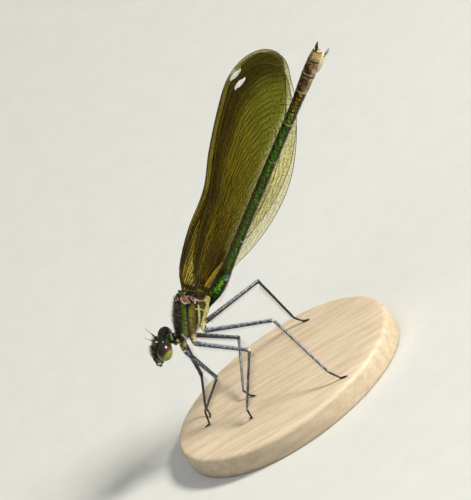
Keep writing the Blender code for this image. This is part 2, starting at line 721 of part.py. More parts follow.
def main():
    clear_scene()
    paints = make_paints()
    parent = bpy.data.objects.new("damselfly", None)
    bpy.context.scene.collection.objects.link(parent)
    nodes = []

    def add(item, name, paint_name, anchor):
        place(item, name, paints[paint_name], anchor, parent)
        nodes.append(item)

    eyes = [make_eye(sign) for _, sign in SIDES]
    head = make_head(eyes)
    labrum = make_lip("labrum", LABRUM_RINGS, LABRUM_DEPTH, [head])
    labium = make_lip("labium", LABIUM_RINGS, LABIUM_DEPTH, [head, labrum])
    antennae = [make_antenna(sign, head, eye) for (_, sign), eye in zip(SIDES, eyes)]
    prothorax = make_prothorax(head)
    thorax = make_thorax()
    segments = make_abdomen()
    cerci = [make_cercus(sign, segments[-1]) for _, sign in SIDES]
    ovipositor = make_ovipositor(segments[7:])
    trim(ovipositor, cerci)
    wings = []
    for side, sign in SIDES:
        fore = make_wing(FOREWING_ROOT, FOREWING_LEADING, FOREWING_TRAILING, sign, False)
        hind = make_wing(HINDWING_ROOT, HINDWING_LEADING, HINDWING_TRAILING, sign, True)
        for wing in (fore, hind):
            trim(wing, [thorax], "MANIFOLD")
        wings += [(f"forewing_{side}", fore, FOREWING_ROOT), (f"hindwing_{side}", hind, HINDWING_ROOT)]
    for name, places in LEGS.items():
        body = [prothorax, thorax] if name.startswith("front") else [thorax]
        for piece, part, joint in zip(make_leg(places, body), ("coxa", "femur", "tibia", "tarsus"), places):
            add(piece, f"{name}_{part}", "coxa" if part == "coxa" else "leg", Vector(joint))
    trim(thorax, [prothorax, segments[0]])

    for (side, sign), eye, antenna, cercus in zip(SIDES, eyes, antennae, cerci):
        add(eye, f"eye_{side}", "eye", head_place(-EYE_BACK, 0.0, sign * EYE_OUT))
        ahead, up, out = ANTENNA_ROOT
        add(antenna, f"antenna_{side}", "head", head_place(ahead, up, sign * out))
        add(cercus, f"cercus_{side}", "tail", abdomen_place(sum(SEGMENT_LENGTHS))[0])
    add(head, "head", "head", HEAD_MIDDLE)
    add(labrum, "labrum", "head", head_place(1.4, -1.2, 0.0))
    add(labium, "labium", "head", head_place(0.0, -1.6, 0.0))
    add(prothorax, "prothorax", "head", PROTHORAX_FRONT)
    add(thorax, "thorax", "green", THORAX_START)
    start = 0.0
    for number, (segment, length) in enumerate(zip(segments, SEGMENT_LENGTHS), 1):
        add(segment, f"abdomen_s{number}", "abdomen" if number < 8 else "tail", abdomen_place(start)[0])
        start += length
    add(ovipositor, "ovipositor", "tail", abdomen_place(OVIPOSITOR_FROM)[0])
    for name, wing, root in wings:
        add(wing, name, "wing", root)
    add(make_base(), "stand_base", "base", Vector((BASE_CENTRE_X, 0.0, -GAP)))

    low, high = model_box(nodes)
    parent.location = Vector((-(low.x + high.x) / 2, -(low.y + high.y) / 2, -low.z))


main()
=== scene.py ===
import math
import random

import bpy
import numpy as np
from mathutils import Matrix, Vector


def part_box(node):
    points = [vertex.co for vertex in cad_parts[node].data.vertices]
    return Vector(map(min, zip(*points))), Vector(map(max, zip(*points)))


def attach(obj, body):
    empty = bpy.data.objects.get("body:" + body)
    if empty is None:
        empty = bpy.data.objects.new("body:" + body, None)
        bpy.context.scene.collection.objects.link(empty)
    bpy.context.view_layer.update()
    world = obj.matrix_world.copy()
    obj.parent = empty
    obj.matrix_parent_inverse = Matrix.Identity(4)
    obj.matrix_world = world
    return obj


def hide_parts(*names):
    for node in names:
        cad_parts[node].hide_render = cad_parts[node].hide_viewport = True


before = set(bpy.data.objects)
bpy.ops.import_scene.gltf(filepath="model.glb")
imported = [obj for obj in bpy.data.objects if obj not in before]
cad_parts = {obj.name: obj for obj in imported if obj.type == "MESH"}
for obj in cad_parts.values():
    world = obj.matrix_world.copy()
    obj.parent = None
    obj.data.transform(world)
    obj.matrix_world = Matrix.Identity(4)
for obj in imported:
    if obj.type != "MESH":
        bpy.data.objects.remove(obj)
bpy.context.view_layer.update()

# The looks of a female banded demoiselle on a small oval base. Sizes are in millimetres in the
# insect's own frame, as in part.py: it faces -X, its left side faces -Y, its feet stand at z = 0.
MM = 0.001
GAP = 0.3                            # the insect's zero level lies this far above the base

BASE_CENTRE_X = 10.5
BASE_HALF = np.array((15.0, 13.0))
BASE_THICKNESS = 3.0
base_low, base_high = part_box("stand_base")
HOME = np.array(((base_low.x + base_high.x) / 2 / MM - BASE_CENTRE_X,
                 (base_low.y + base_high.y) / 2 / MM, base_high.z / MM + GAP))
STAND_TOP = -GAP

SIDES = (("left", -1.0), ("right", 1.0))
Y_AXIS = np.array((0.0, 1.0, 0.0))
Z_AXIS = np.array((0.0, 0.0, 1.0))

# Camera: the photo's axes seen in the insect's frame
CAMERA_YAW = math.radians(34.6)
CAMERA_TILT = math.radians(30.0)
PHOTO_SIZE = (471, 500)
PIXELS_PER_MM = 8.5
FEET_PIXEL = (207.0, 420.0)          # where the frame's own zero point lies in the photo
LENS = 1200.0                        # long, so that near and far sides keep nearly one scale
SENSOR = 36.0
TRUE_SCALE_DEPTH = 10.0              # how far in front of the zero point the scale is exact


def unit(vector):
    vector = np.asarray(vector, float)
    return vector / np.linalg.norm(vector)


def world_place(points):
    """From millimetres in the insect's frame to metres in the model's."""
    return (np.asarray(points) + HOME) * MM


CAMERA_RIGHT = np.array((math.cos(CAMERA_YAW), 0.0, -math.sin(CAMERA_YAW)))
CAMERA_UP = np.array((math.sin(CAMERA_YAW) * math.cos(CAMERA_TILT), math.sin(CAMERA_TILT),
                      math.cos(CAMERA_YAW) * math.cos(CAMERA_TILT)))
CAMERA_BACK = np.cross(CAMERA_RIGHT, CAMERA_UP)


def smooth_values(places, values, goals):
    """Values of a smooth curve through a few stations, at any places between them."""
    places, values = np.asarray(places, float), np.asarray(values, float)
    goals = np.clip(np.asarray(goals, float), places[0], places[-1])
    high = np.minimum(np.arange(len(places)) + 1, len(places) - 1)
    low = np.maximum(np.arange(len(places)) - 1, 0)
    slopes = (values[high] - values[low]) / (places[high] - places[low])
    index = np.clip(np.searchsorted(places, goals, side="right") - 1, 0, len(places) - 2)
    span = places[index + 1] - places[index]
    t = (goals - places[index]) / span
    return ((2 * t**3 - 3 * t**2 + 1) * values[index] + (t**3 - 2 * t**2 + t) * span * slopes[index]
            + (3 * t**2 - 2 * t**3) * values[index + 1] + (t**3 - t**2) * span * slopes[index + 1])


def station_values(table, goals, column=1):
    """The same for a table whose first column is the place."""
    return smooth_values(table[:, 0], table[:, column], goals)


def circle(count):
    """Even angles all round."""
    return np.arange(count) * math.tau / count


def ease(low, high, value):
    """A soft step from 0 to 1."""
    share = np.clip((np.asarray(value, float) - low) / (high - low), 0.0, 1.0)
    return share * share * (3 - 2 * share)


def band(value, centre, half, soft):
    """One inside a band, falling to nothing over a soft edge."""
    return 1.0 - ease(half, half + soft, np.abs(value - centre))


def mix(first, second, share):
    share = np.asarray(share, float)[..., None]
    return np.asarray(first, float) * (1 - share) + np.asarray(second, float) * share


def plain(color, points):
    """One paint for a grid of points."""
    return np.broadcast_to(np.array(color), (*points.shape[:2], 4)).copy()


def coat(paint, *layers):
    """Lays further paints over one; each layer is a paint and its share at every point."""
    for color, share in layers:
        paint = mix(paint, color, share)
    return paint


def mottle(points, size, seed=0.0):
    """Blotches between 0 and 1, about a given size across."""
    x, y, z = (points[..., axis] / size + seed * (axis + 1.0) for axis in range(3))
    first = np.sin(2.1 * x + 1.4 * np.sin(1.7 * y + 1.3 * z))
    second = np.sin(2.3 * y - 1.9 * z + 1.3 * np.sin(1.1 * x + 2.3 * z))
    return np.clip(0.5 + 0.35 * first + 0.35 * second * np.cos(1.3 * x + 0.7 * z), 0.0, 1.0)


def stroke(points, start, end, half, soft=0.05):
    """One along a short line on the side of the body, given across and up as the camera sees it."""
    mirrored = points * (1.0, 0.0, 1.0) - Y_AXIS * np.abs(points[..., 1:2])
    offset = np.stack((mirrored @ CAMERA_RIGHT, mirrored @ CAMERA_UP), -1) - start
    way = np.subtract(end, start)
    share = np.clip(offset @ way / max(float(way @ way), 1e-9), 0.0, 1.0)
    return ease(half + soft, half, np.linalg.norm(offset - share[..., None] * way, axis=-1))


class Form:
    """Points, faces and paint, gathered before they become one mesh.

    Paint is red, green and blue with the share of metal as its fourth number.
    """

    def __init__(self):
        self.points, self.faces, self.paint, self.count = [], [], [], 0

    def add(self, points, faces, paint):
        points = np.asarray(points, float).reshape(-1, 3)
        paint = np.broadcast_to(np.asarray(paint, float), (len(points), 4))
        self.faces += [tuple(int(i) + self.count for i in face) for face in faces]
        self.points.append(points)
        self.paint.append(paint)
        self.count += len(points)

    def skin(self, rings, paint):
        """A closed skin over rings of equal count; rings has the shape (rows, sides, 3)."""
        rows, sides, _ = rings.shape
        ends = np.stack((rings[0].mean(0), rings[-1].mean(0)))
        faces = []
        for row in range(rows - 1):
            low, high = row * sides, (row + 1) * sides
            for step in range(sides):
                after = (step + 1) % sides
                faces.append((low + step, low + after, high + after, high + step))
        start, finish, last = rows * sides, rows * sides + 1, (rows - 1) * sides
        for step in range(sides):
            after = (step + 1) % sides
            faces += [(after, step, start), (last + step, last + after, finish)]
        paint = np.asarray(paint, float)
        if paint.ndim == 3:
            paint = np.concatenate((paint.reshape(-1, 4), paint[0, :1], paint[-1, :1]))
        self.add(np.concatenate((rings.reshape(-1, 3), ends)), faces, paint)

    def slab(self, front, back, paint):
        """A closed thin sheet between two faces; each face has the shape (rows, columns, 3)."""
        rows, width, _ = front.shape
        total = rows * width
        faces = []
        for row in range(rows - 1):
            for column in range(width - 1):
                a = row * width + column
                b, c, d = a + 1, a + width + 1, a + width
                faces += [(a, b, c, d), (total + d, total + c, total + b, total + a)]
        rim = (list(range(width - 1)) + [row * width + width - 1 for row in range(rows - 1)]
               + [(rows - 1) * width + column for column in range(width - 1, 0, -1)]
               + [row * width for row in range(rows - 1, 0, -1)])
        faces += [(after, here, total + here, total + after) for here, after in zip(rim, rim[1:] + rim[:1])]
        paint = np.asarray(paint, float)
        if paint.ndim == 3:
            paint = np.concatenate((paint.reshape(-1, 4),) * 2)
        self.add(np.concatenate((front.reshape(-1, 3), back.reshape(-1, 3))), faces, paint)

    def hair(self, root, direction, length, radius, paint, bend=(0, 0, 0), sides=3, steps=2):
        """A tapering bristle that bends towards a direction."""
        direction = unit(direction)
        side = unit(np.cross(direction, (0.31, 0.53, 0.79)))
        other = np.cross(direction, side)
        points, faces = [], []
        for step in range(steps):
            share = step / steps
            centre = root + direction * (length * share) + np.asarray(bend) * (length * share * share)
            size = radius * (1 - 0.6 * share)
            for turn in range(sides):
                angle = math.tau * turn / sides
                points.append(centre + (side * math.cos(angle) + other * math.sin(angle)) * size)
        points.append(root + direction * length + np.asarray(bend) * length)
        for step in range(steps - 1):
            for turn in range(sides):
                after = (turn + 1) % sides
                low, high = step * sides, (step + 1) * sides
                faces.append((low + turn, low + after, high + after, high + turn))
        last = (steps - 1) * sides
        faces += [(last + turn, last + (turn + 1) % sides, steps * sides) for turn in range(sides)]
        faces.append(tuple(reversed(range(sides))))
        self.add(points, faces, paint)


def make_piece(name, form, material, nodes=()):
    mesh = bpy.data.meshes.new(name)
    mesh.from_pydata(world_place(np.concatenate(form.points)).tolist(), [], form.faces)
    mesh.attributes.new("paint", "FLOAT_COLOR", "POINT").data.foreach_set(
        "color", np.concatenate(form.paint).ravel())
    mesh.materials.append(material)
    mesh.shade_smooth()
    mesh.update()
    item = bpy.data.objects.new(name, mesh)
    bpy.context.scene.collection.objects.link(item)
    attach(item, "root")
    if nodes:
        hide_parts(*nodes)


# Materials

NOISE_REACH = (0.3, 0.7)             # most of a noise texture lies between these
ROUGH_CHANGE = 0.08
EYE_CELL = 0.075                     # sizes of patterns, in millimetres
FILM_CELL, FILM_WRINKLE, FILM_CLOUD = 0.36, 0.30, 3.0
WOOD_RING, WOOD_GRAIN = 5.88, 0.714
WOOD_STRETCH = (1.0, 9.0, 9.0)
WOOD_DARK, WOOD_PALE = (0.50, 0.39, 0.26, 1), (0.60, 0.49, 0.35, 1)
FILM_GOLD = (1.0, 0.80, 0.16, 1)


class Graph:
    """A small helper that adds and links shader nodes."""

    def __init__(self, name):
        self.material = bpy.data.materials.new(name)
        self.material.use_nodes = True
        self.tree = self.material.node_tree
        self.shader = self.tree.nodes["Principled BSDF"]

    def node(self, kind, values=None, **settings):
        node = self.tree.nodes.new(kind)
        for key, value in settings.items():
            setattr(node, key, value)
        for key, value in (values or {}).items():
            self.feed(node.inputs[key], value)
        return node

    def feed(self, socket, value):
        if isinstance(value, bpy.types.NodeSocket):
            self.tree.links.new(value, socket)
        else:
            socket.default_value = value

    def set(self, **values):
        for key, value in values.items():
            self.feed(self.shader.inputs[key.replace("_", " ")], value)

    def place(self):
        return self.node("ShaderNodeTexCoord").outputs["Object"]

    def paint(self):
        """The mesh's own colour, with its share of metal as alpha."""
        return self.node("ShaderNodeAttribute", attribute_name="paint").outputs

    def noise(self, size, detail=3.0, roughness=0.55, vector=None):
        """Noise of a given size in millimetres."""
        values = {"Vector": vector or self.place(), "Scale": 1 / (size * MM), "Detail": detail,
                  "Roughness": roughness}
        return self.node("ShaderNodeTexNoise", values).outputs["Fac"]

    def cells(self, size, feature):
        """Cells of a given size in millimetres: how far each place is from its cell's middle or edge."""
        values = {"Vector": self.place(), "Scale": 1 / (size * MM)}
        return self.node("ShaderNodeTexVoronoi", values, feature=feature).outputs["Distance"]

    def remap(self, value, low, high, to_low, to_high):
        return self.node("ShaderNodeMapRange", {"Value": value, "From Min": low, "From Max": high,
                                                "To Min": to_low, "To Max": to_high}).outputs["Result"]

    def vary(self, noise, low, high):
        """A number that wanders between two limits with the noise."""
        return self.remap(noise, *NOISE_REACH, low, high)

    def blend(self, share, first, second, how="MIX"):
        node = self.node("ShaderNodeMix", data_type="RGBA", blend_type=how)
        self.feed(node.inputs[0], share)
        self.feed(node.inputs[6], first)
        self.feed(node.inputs[7], second)
        return node.outputs[2]

    def times(self, color, value):
        """A colour made lighter or darker by a number."""
        node = self.node("ShaderNodeVectorMath", operation="SCALE")
        self.feed(node.inputs[0], color if isinstance(color, bpy.types.NodeSocket) else color[:3])
        self.feed(node.inputs["Scale"], value)
        return node.outputs[0]

    def bump(self, height, strength, depth):
        """Depth is in millimetres."""
        node = self.node("ShaderNodeBump", {"Strength": strength, "Distance": depth * MM, "Height": height})
        self.set(Normal=node.outputs["Normal"])


def painted(name, roughness, grain, bump=0.25, depth=0.02, tone=(0.75, 1.25), gloss=0.5):
    """Cuticle: the mesh's paint, broken up by fine noise, with a pitted surface."""
    graph = Graph(name)
    paint = graph.paint()
    fine = graph.noise(grain)
    broad = graph.noise(grain * 6, 2.0)
    color = graph.times(paint["Color"], graph.vary(fine, *tone))
    graph.set(Base_Color=graph.times(color, graph.vary(broad, 0.85, 1.15)), Metallic=paint["Alpha"],
              Specular_IOR_Level=gloss,
              Roughness=graph.vary(broad, roughness - ROUGH_CHANGE, roughness + ROUGH_CHANGE))
    graph.bump(fine, bump, depth)
    return graph.material


def eye_material():
    graph = Graph("compound_eye")
    cells = graph.cells(EYE_CELL, "F1")
    color = graph.times(graph.paint()["Color"], graph.remap(cells, 0.0, 0.7, 1.12, 0.72))
    graph.set(Base_Color=color, Roughness=0.35, Coat_Weight=0.5, Coat_Roughness=0.04)
    graph.bump(cells, 0.12, 0.008)
    return graph.material


def membrane_material():
    """A film that tints what is seen through it; the paint's fourth number is its own share of the light."""
    graph = Graph("wing_membrane")
    paint = graph.paint()
    cells = graph.cells(FILM_CELL, "DISTANCE_TO_EDGE")
    wrinkle = graph.noise(FILM_WRINKLE, 2.0)
    cloud = graph.noise(FILM_CLOUD, 2.0)
    tint = graph.times(paint["Color"], graph.remap(cells, 0.0, 0.14, 0.86, 1.02))
    tint = graph.times(tint, graph.vary(cloud, 0.97, 1.03))
    film = graph.node("ShaderNodeBsdfTransparent", {"Color": tint}).outputs[0]
    shine = graph.blend(1.0, paint["Color"], FILM_GOLD, "MULTIPLY")
    graph.set(Base_Color=graph.times(shine, graph.vary(wrinkle, 0.35, 1.0)), Roughness=0.24, Metallic=0.6)
    graph.bump(wrinkle, 1.0, 0.12)
    both = graph.node("ShaderNodeMixShader", {0: paint["Alpha"], 1: film, 2: graph.shader.outputs[0]})
    graph.feed(graph.tree.nodes["Material Output"].inputs["Surface"], both.outputs[0])
    return graph.material


def wood_material():
    graph = Graph("pale_wood")
    stretch = graph.node("ShaderNodeMapping", {"Vector": graph.place(), "Scale": WOOD_STRETCH}).outputs[0]
    rings = graph.noise(WOOD_RING, 3.0, 0.5, stretch)
    grain = graph.noise(WOOD_GRAIN, 4.0, 0.6, stretch)
    color = graph.blend(graph.remap(rings, 0.35, 0.65, 0.0, 1.0), WOOD_DARK, WOOD_PALE)
    graph.set(Base_Color=graph.times(color, graph.vary(grain, 0.88, 1.08)),
              Roughness=graph.vary(grain, 0.42, 0.58))
    graph.bump(grain, 0.2, 0.06)
    return graph.material


# Shared rings

def ring_points(centre, up, side, half_width, rise, drop, angles):
    """Rings with their own reach above and below the widest level; angle 0 points up."""
    cosine, sine = np.cos(angles), np.sin(angles)
    reach = np.where(cosine > 0, rise, drop)
    return centre + side * (half_width * sine)[:, None] + up * (reach * cosine)[:, None]


def tube_rings(points, radii, sides):
    """Rings along a route, with rounded ends."""
    points, radii = np.asarray(points, float), np.asarray(radii, float)
    ahead = np.gradient(points, axis=0)
    ahead /= np.linalg.norm(ahead, axis=1)[:, None]
    turns = np.radians((30.0, 60.0, 80.0))
    centres = np.concatenate((points[0] - ahead[0] * radii[0] * np.sin(turns[::-1])[:, None], points,
                              points[-1] + ahead[-1] * radii[-1] * np.sin(turns)[:, None]))
    sizes = np.concatenate((radii[0] * np.cos(turns[::-1]), radii, radii[-1] * np.cos(turns)))
    ways = np.concatenate((np.repeat(ahead[:1], 3, 0), ahead, np.repeat(ahead[-1:], 3, 0)))
    side = unit(np.cross(ways[0], Z_AXIS))
    rings = []
    for centre, size, way in zip(centres, sizes, ways):
        side = unit(side - way * side.dot(way))
        up = np.cross(side, way)
        rings.append(ring_points(centre, up, side, size, size, size, circle(sides)))
    return np.stack(rings)


def rod(root, way, radii, sides):
    """A straight tube along a way, with its radius at even steps."""
    return tube_rings(root + way * np.linspace(0.0, 1.0, len(radii))[:, None], radii, sides)


# Head

HEAD_MIDDLE = np.array((1.59, 0.0, 11.44))
HEAD_PITCH = math.radians(34.6)
HEAD_AHEAD = np.array((-math.cos(HEAD_PITCH), 0.0, math.sin(HEAD_PITCH)))
HEAD_CROWN = np.array((math.sin(HEAD_PITCH), 0.0, math.cos(HEAD_PITCH)))
HEAD_AXES = (HEAD_AHEAD, HEAD_CROWN, Y_AXIS)
EYE_OUT, EYE_BACK = 1.85, 0.235
EYE_HALF = (0.93, 1.06, 1.15)

BLACK = (0.006, 0.006, 0.005, 0.15)
DARK_GREEN = (0.014, 0.015, 0.006, 0.45)
HEAD_BAR = (0.60, 0.45, 0.33, 0.0)
CROWN_SPOT = (0.09, 0.16, 0.02, 0.5)
HEAD_REAR = (0.10, 0.16, 0.03, 0.4)
CHEEK_GREEN = (0.07, 0.10, 0.02, 0.4)
LIP_BLACK = (0.008, 0.008, 0.007, 0.1)
LIP_BROWN = (0.030, 0.026, 0.012, 0.2)
PALP_BROWN = (0.020, 0.018, 0.010, 0.1)
JAW_PALE = (0.55, 0.56, 0.34, 0.0)
YELLOW = (0.68, 0.60, 0.20, 0.0)
EYE_BROWN = (0.062, 0.015, 0.006, 0.0)
EYE_DARK = (0.010, 0.005, 0.003, 0.0)
EYE_GREEN = (0.23, 0.30, 0.02, 0.0)
EYE_PALE = (0.30, 0.38, 0.06, 0.0)
EYE_GREEN_AXIS = np.array((-0.59, -0.41, 0.50))      # ahead, up, out: towards the green part of the eye
EYE_RIM = (0.42, 0.30, 0.14, 0.0)


def head_place(ahead, up, side):
    return HEAD_MIDDLE + HEAD_AHEAD * ahead + HEAD_CROWN * up + Y_AXIS * side


def head_offset(points):
    """Points in the head's own directions: ahead, up and to the side."""
    offset = points - HEAD_MIDDLE
    return offset @ HEAD_AHEAD, offset @ HEAD_CROWN, offset[..., 1]


# Rounded masses that make up the head: where each lies (ahead, up, side) and its half sizes. Those
# beside the middle are there on both sides.
HEAD_MASSES = (
    ((-0.05, 0.05, 0.0), (0.92, 0.86, 1.75)),       # crown, between the eyes
    ((0.42, 0.22, 0.0), (0.70, 0.62, 0.90)),        # brow
    ((0.86, -0.62, 0.0), (0.60, 0.44, 0.92)),       # nose, the rounded upper face
    ((0.88, -1.12, 0.0), (0.46, 0.36, 0.86)),       # lower face
    ((0.30, -1.25, 0.80), (0.60, 0.78, 0.50)),      # cheeks
    ((-0.40, -0.65, 0.0), (0.60, 0.90, 0.95)),      # throat
    ((-0.66, 0.10, 0.85), (0.36, 0.78, 0.75)),      # back of the head behind each eye
    ((0.60, 0.70, 0.0), (0.17, 0.17, 0.17)),        # the three small eyes of the crown
    ((0.22, 0.86, 0.36), (0.16, 0.16, 0.16)),
    ((0.84, 0.50, 0.52), (0.22, 0.22, 0.24)),       # feeler sockets
)
HEAD_SHARPNESS = 14.0


def head_radius(directions):
    """Reach of the head along each direction: a soft blend of its masses."""
    total = np.zeros(len(directions))
    for (ahead, up, side), half in HEAD_MASSES:
        for out in (side, -side) if side else (side,):
            d, c = directions / half, np.divide((ahead, up, out), half)
            a, b, k = (d * d).sum(1), d @ c, c @ c - 1.0
            inside = b * b - a * k
            reach = np.where(inside > 0, (b + np.sqrt(np.maximum(inside, 0.0))) / a, 0.0)
            total += np.exp(HEAD_SHARPNESS * np.maximum(reach, 0.0))
    return np.log(total) / HEAD_SHARPNESS


def head_paint(ahead, up, side):
    out = np.abs(side)
    bars = (band(out, 1.05, 0.16, 0.06) * band(ahead, -0.02, 0.05, 0.05) * ease(0.4, 0.6, up)
            + band(out, 0.62, 0.09, 0.05) * band(up, 0.60, 0.05, 0.05) * ease(0.6, 0.75, ahead))
    return coat(plain(DARK_GREEN, ahead),
                (BLACK, ease(0.70, 0.95, ahead) * ease(-0.05, -0.35, up) * 0.95),
                (HEAD_BAR, np.clip(bars, 0, 1)),
                (CROWN_SPOT, band(ahead, -0.52, 0.16, 0.12) * band(out, 0.55, 0.22, 0.15)),
                (HEAD_REAR, ease(-0.70, -0.90, ahead) * ease(0.4, 0.7, out)),
                (CHEEK_GREEN, ease(-1.35, -1.6, up) * ease(0.7, 1.0, out)))


def make_head(skin):
    rows, sides = 110, 150
    lift = np.linspace(0.015, math.pi - 0.015, rows)[:, None]
    turn = circle(sides)[None, :]
    directions = np.stack((np.sin(lift) * np.cos(turn), np.sin(lift) * np.sin(turn),
                           -np.cos(lift) * np.ones_like(turn)), -1)
    reach = head_radius(directions.reshape(-1, 3)).reshape(rows, sides, 1) * directions
    points = HEAD_MIDDLE + reach @ np.stack(HEAD_AXES)
    skin.skin(points, head_paint(*head_offset(points)))


def ellipsoid(centre, axes, halves, rows, sides):
    lift = np.linspace(0.03, math.pi - 0.03, rows)[:, None]
    turn = circle(sides)[None, :]
    parts = (np.sin(lift) * np.cos(turn), np.sin(lift) * np.sin(turn), np.cos(lift) * np.ones_like(turn))
    return centre + sum((half * part)[..., None] * axis for axis, half, part in zip(axes, halves, parts))


def make_eyes(material):
    ahead_half, out_half, up_half = EYE_HALF
    for name, sign in SIDES:
        form = Form()
        centre = head_place(-EYE_BACK, 0.0, sign * EYE_OUT)
        points = ellipsoid(centre, HEAD_AXES, (ahead_half, up_half, out_half), 60, 80)
        offset = points - centre
        ahead, up = offset @ HEAD_AHEAD / ahead_half, offset @ HEAD_CROWN / up_half
        zone = np.stack((ahead, up, offset[..., 1] * sign / out_half), -1) @ EYE_GREEN_AXIS
        form.skin(points, coat(plain(EYE_BROWN, points),
                               (EYE_DARK, ease(0.25, 0.95, up + ahead)),
                               (EYE_GREEN, ease(0.36, 0.58, zone)),
                               (EYE_PALE, ease(0.62, 0.85, zone) * 0.5),
                               (EYE_RIM, ease(-0.86, -0.91, ahead))))
        make_piece(f"eye_ball_{name}", form, material, [f"eye_{name}"])


def make_mouth(skin):
    """Upper lip, jaws, their feelers and lower lip."""
    lip = ellipsoid(head_place(0.88, -1.80, 0.0), HEAD_AXES, (0.36, 0.55, 0.78), 30, 40)
    skin.skin(lip, LIP_BLACK)
    for _, sign in SIDES:
        jaw = ellipsoid(head_place(0.50, -2.12, sign * 0.52), HEAD_AXES, (0.42, 0.62, 0.36), 28, 36)
        ahead, up, side = head_offset(jaw)
        pale = band(up, -2.25, 0.12, 0.12) * band(ahead, 0.42, 0.16, 0.12) * ease(0.55, 0.75, side * sign)
        skin.skin(jaw, mix(plain(BLACK, jaw), JAW_PALE, pale))
        palp = ellipsoid(head_place(0.30, -2.42, sign * 0.42), HEAD_AXES, (0.26, 0.50, 0.16), 20, 24)
        skin.skin(palp, PALP_BROWN)
    tilt = math.radians(62.0)
    tilted = (HEAD_AHEAD * math.cos(tilt) - HEAD_CROWN * math.sin(tilt),
              HEAD_AHEAD * math.sin(tilt) + HEAD_CROWN * math.cos(tilt), Y_AXIS)
    skin.skin(ellipsoid(head_place(0.02, -2.10, 0.0), tilted, (0.90, 0.26, 0.66), 28, 36), LIP_BROWN)


# Neck and thorax

THORAX_START = np.array((3.3, 0.0, 11.0))
THORAX_PITCH = math.radians(20.0)
THORAX_AXIS = np.array((math.cos(THORAX_PITCH), 0.0, math.sin(THORAX_PITCH)))
THORAX_RISE = np.array((-math.sin(THORAX_PITCH), 0.0, math.cos(THORAX_PITCH)))
# distance along the axis, top, widest level, bottom (all above the axis), half width
THORAX_STATIONS = np.array((
    (0.62, 0.40, -0.10, -0.48, 0.45),
    (0.95, 0.95, -0.05, -0.80, 0.95),
    (1.60, 1.62, 0.05, -0.98, 1.30),
    (2.90, 2.62, 0.35, -1.06, 1.58),
    (4.30, 3.42, 0.75, -1.04, 1.66),
    (5.40, 3.48, 1.05, -0.78, 1.55),
    (6.30, 2.98, 1.10, -0.42, 1.40),
    (7.00, 2.30, 1.00, -0.10, 1.20),
    (7.45, 1.75, 0.90, 0.15, 0.85),
))
PROTHORAX_FRONT = np.array((2.72, 0.0, 11.32))
PROTHORAX_REAR = np.array((4.00, 0.0, 11.05))

GREEN = (0.050, 0.085, 0.006, 0.65)
LIME = (0.24, 0.31, 0.015, 0.65)
GOLD = (0.19, 0.135, 0.012, 0.60)
SHADE = (0.010, 0.011, 0.006, 0.4)
REAR_OLIVE = (0.075, 0.075, 0.008, 0.7)
BELLY_TAN = (0.13, 0.11, 0.04, 0.1)
PALE_MARK = (0.60, 0.55, 0.52, 0.0)
# Yellow lines on the side, across and up as the camera sees them: start, end and half width
YELLOW_LINES = (
    ((0.05, 14.25), (0.26, 13.65), 0.33), ((0.26, 13.65), (-0.10, 12.59), 0.30),
    ((-0.10, 12.59), (-0.35, 11.76), 0.24), ((-0.35, 11.76), (-0.70, 11.05), 0.17),
    ((-0.94, 13.12), (-1.30, 13.03), 0.045), ((-0.94, 13.12), (-1.03, 13.50), 0.045),
    ((-0.94, 13.12), (-0.42, 12.89), 0.045), ((-0.94, 13.12), (-0.88, 11.76), 0.085),
    ((-0.88, 11.76), (-1.05, 10.90), 0.07),
)
PALE_LINES = (((-2.94, 10.06), (-1.65, 8.82), 0.06), ((-1.42, 13.80), (-1.40, 13.92), 0.07))
# Seams of the side, counted across the photo at mid height: place and how it leans
SEAMS = {"front": (-3.02, -0.065), "middle": (-2.02, -0.11), "rear": (-1.10, -0.05), "edge": (-0.22, 0.02)}
SEAM_LEVEL = 12.3
SEAM_DEPTH, KEEL_HEIGHT = 0.055, 0.05


def seam_distance(points, name):
    """How far behind a seam each point lies."""
    across = points @ CAMERA_RIGHT
    place, lean = SEAMS[name]
    level = points @ HEAD_CROWN
    return across - (place + lean * (level - SEAM_LEVEL))


def thorax_paint(points, turn):
    """Turn is the angle down from the back, in degrees."""
    front, middle, rear = (seam_distance(points, name) for name in ("front", "middle", "rear"))
    blotch = mottle(points, 0.22)
    paint = coat(plain(SHADE, points),
                 (GREEN, ease(0.0, 0.12, front)),
                 (LIME, band(front, 0.50, 0.10, 0.20) * (0.25 + 0.75 * blotch)),
                 (GOLD, ease(0.02, 0.10, middle)),
                 (LIME, band(middle, 0.45, 0.05, 0.22) * 0.65 * blotch),
                 (REAR_OLIVE, ease(0.0, 0.1, rear)),
                 (SHADE, ease(0.50, 0.85, mottle(points, 0.24, 2.0)) * 0.60),
                 (BLACK, band(front, -0.02, 0.07, 0.10)),
                 (BLACK, band(middle, 0.02, 0.06, 0.08)),
                 (BLACK, band(rear, -0.02, 0.09, 0.08)),
                 (BELLY_TAN, ease(128.0, 140.0, turn) * ease(0.1, 0.3, middle)))
    for start, end, half in YELLOW_LINES:
        paint = mix(paint, YELLOW, stroke(points, start, end, half) * (0.7 + 0.3 * blotch))
    paint = mix(paint, BLACK, ease(78.0, 66.0, turn) * ease(-0.15, 0.05, middle))
    for start, end, half in PALE_LINES:
        paint = mix(paint, PALE_MARK, stroke(points, start, end, half))
    return paint


def thorax_size(along):
    """Top, widest level, bottom and half width of the thorax."""
    return [station_values(THORAX_STATIONS, along, column) for column in (1, 2, 3, 4)]


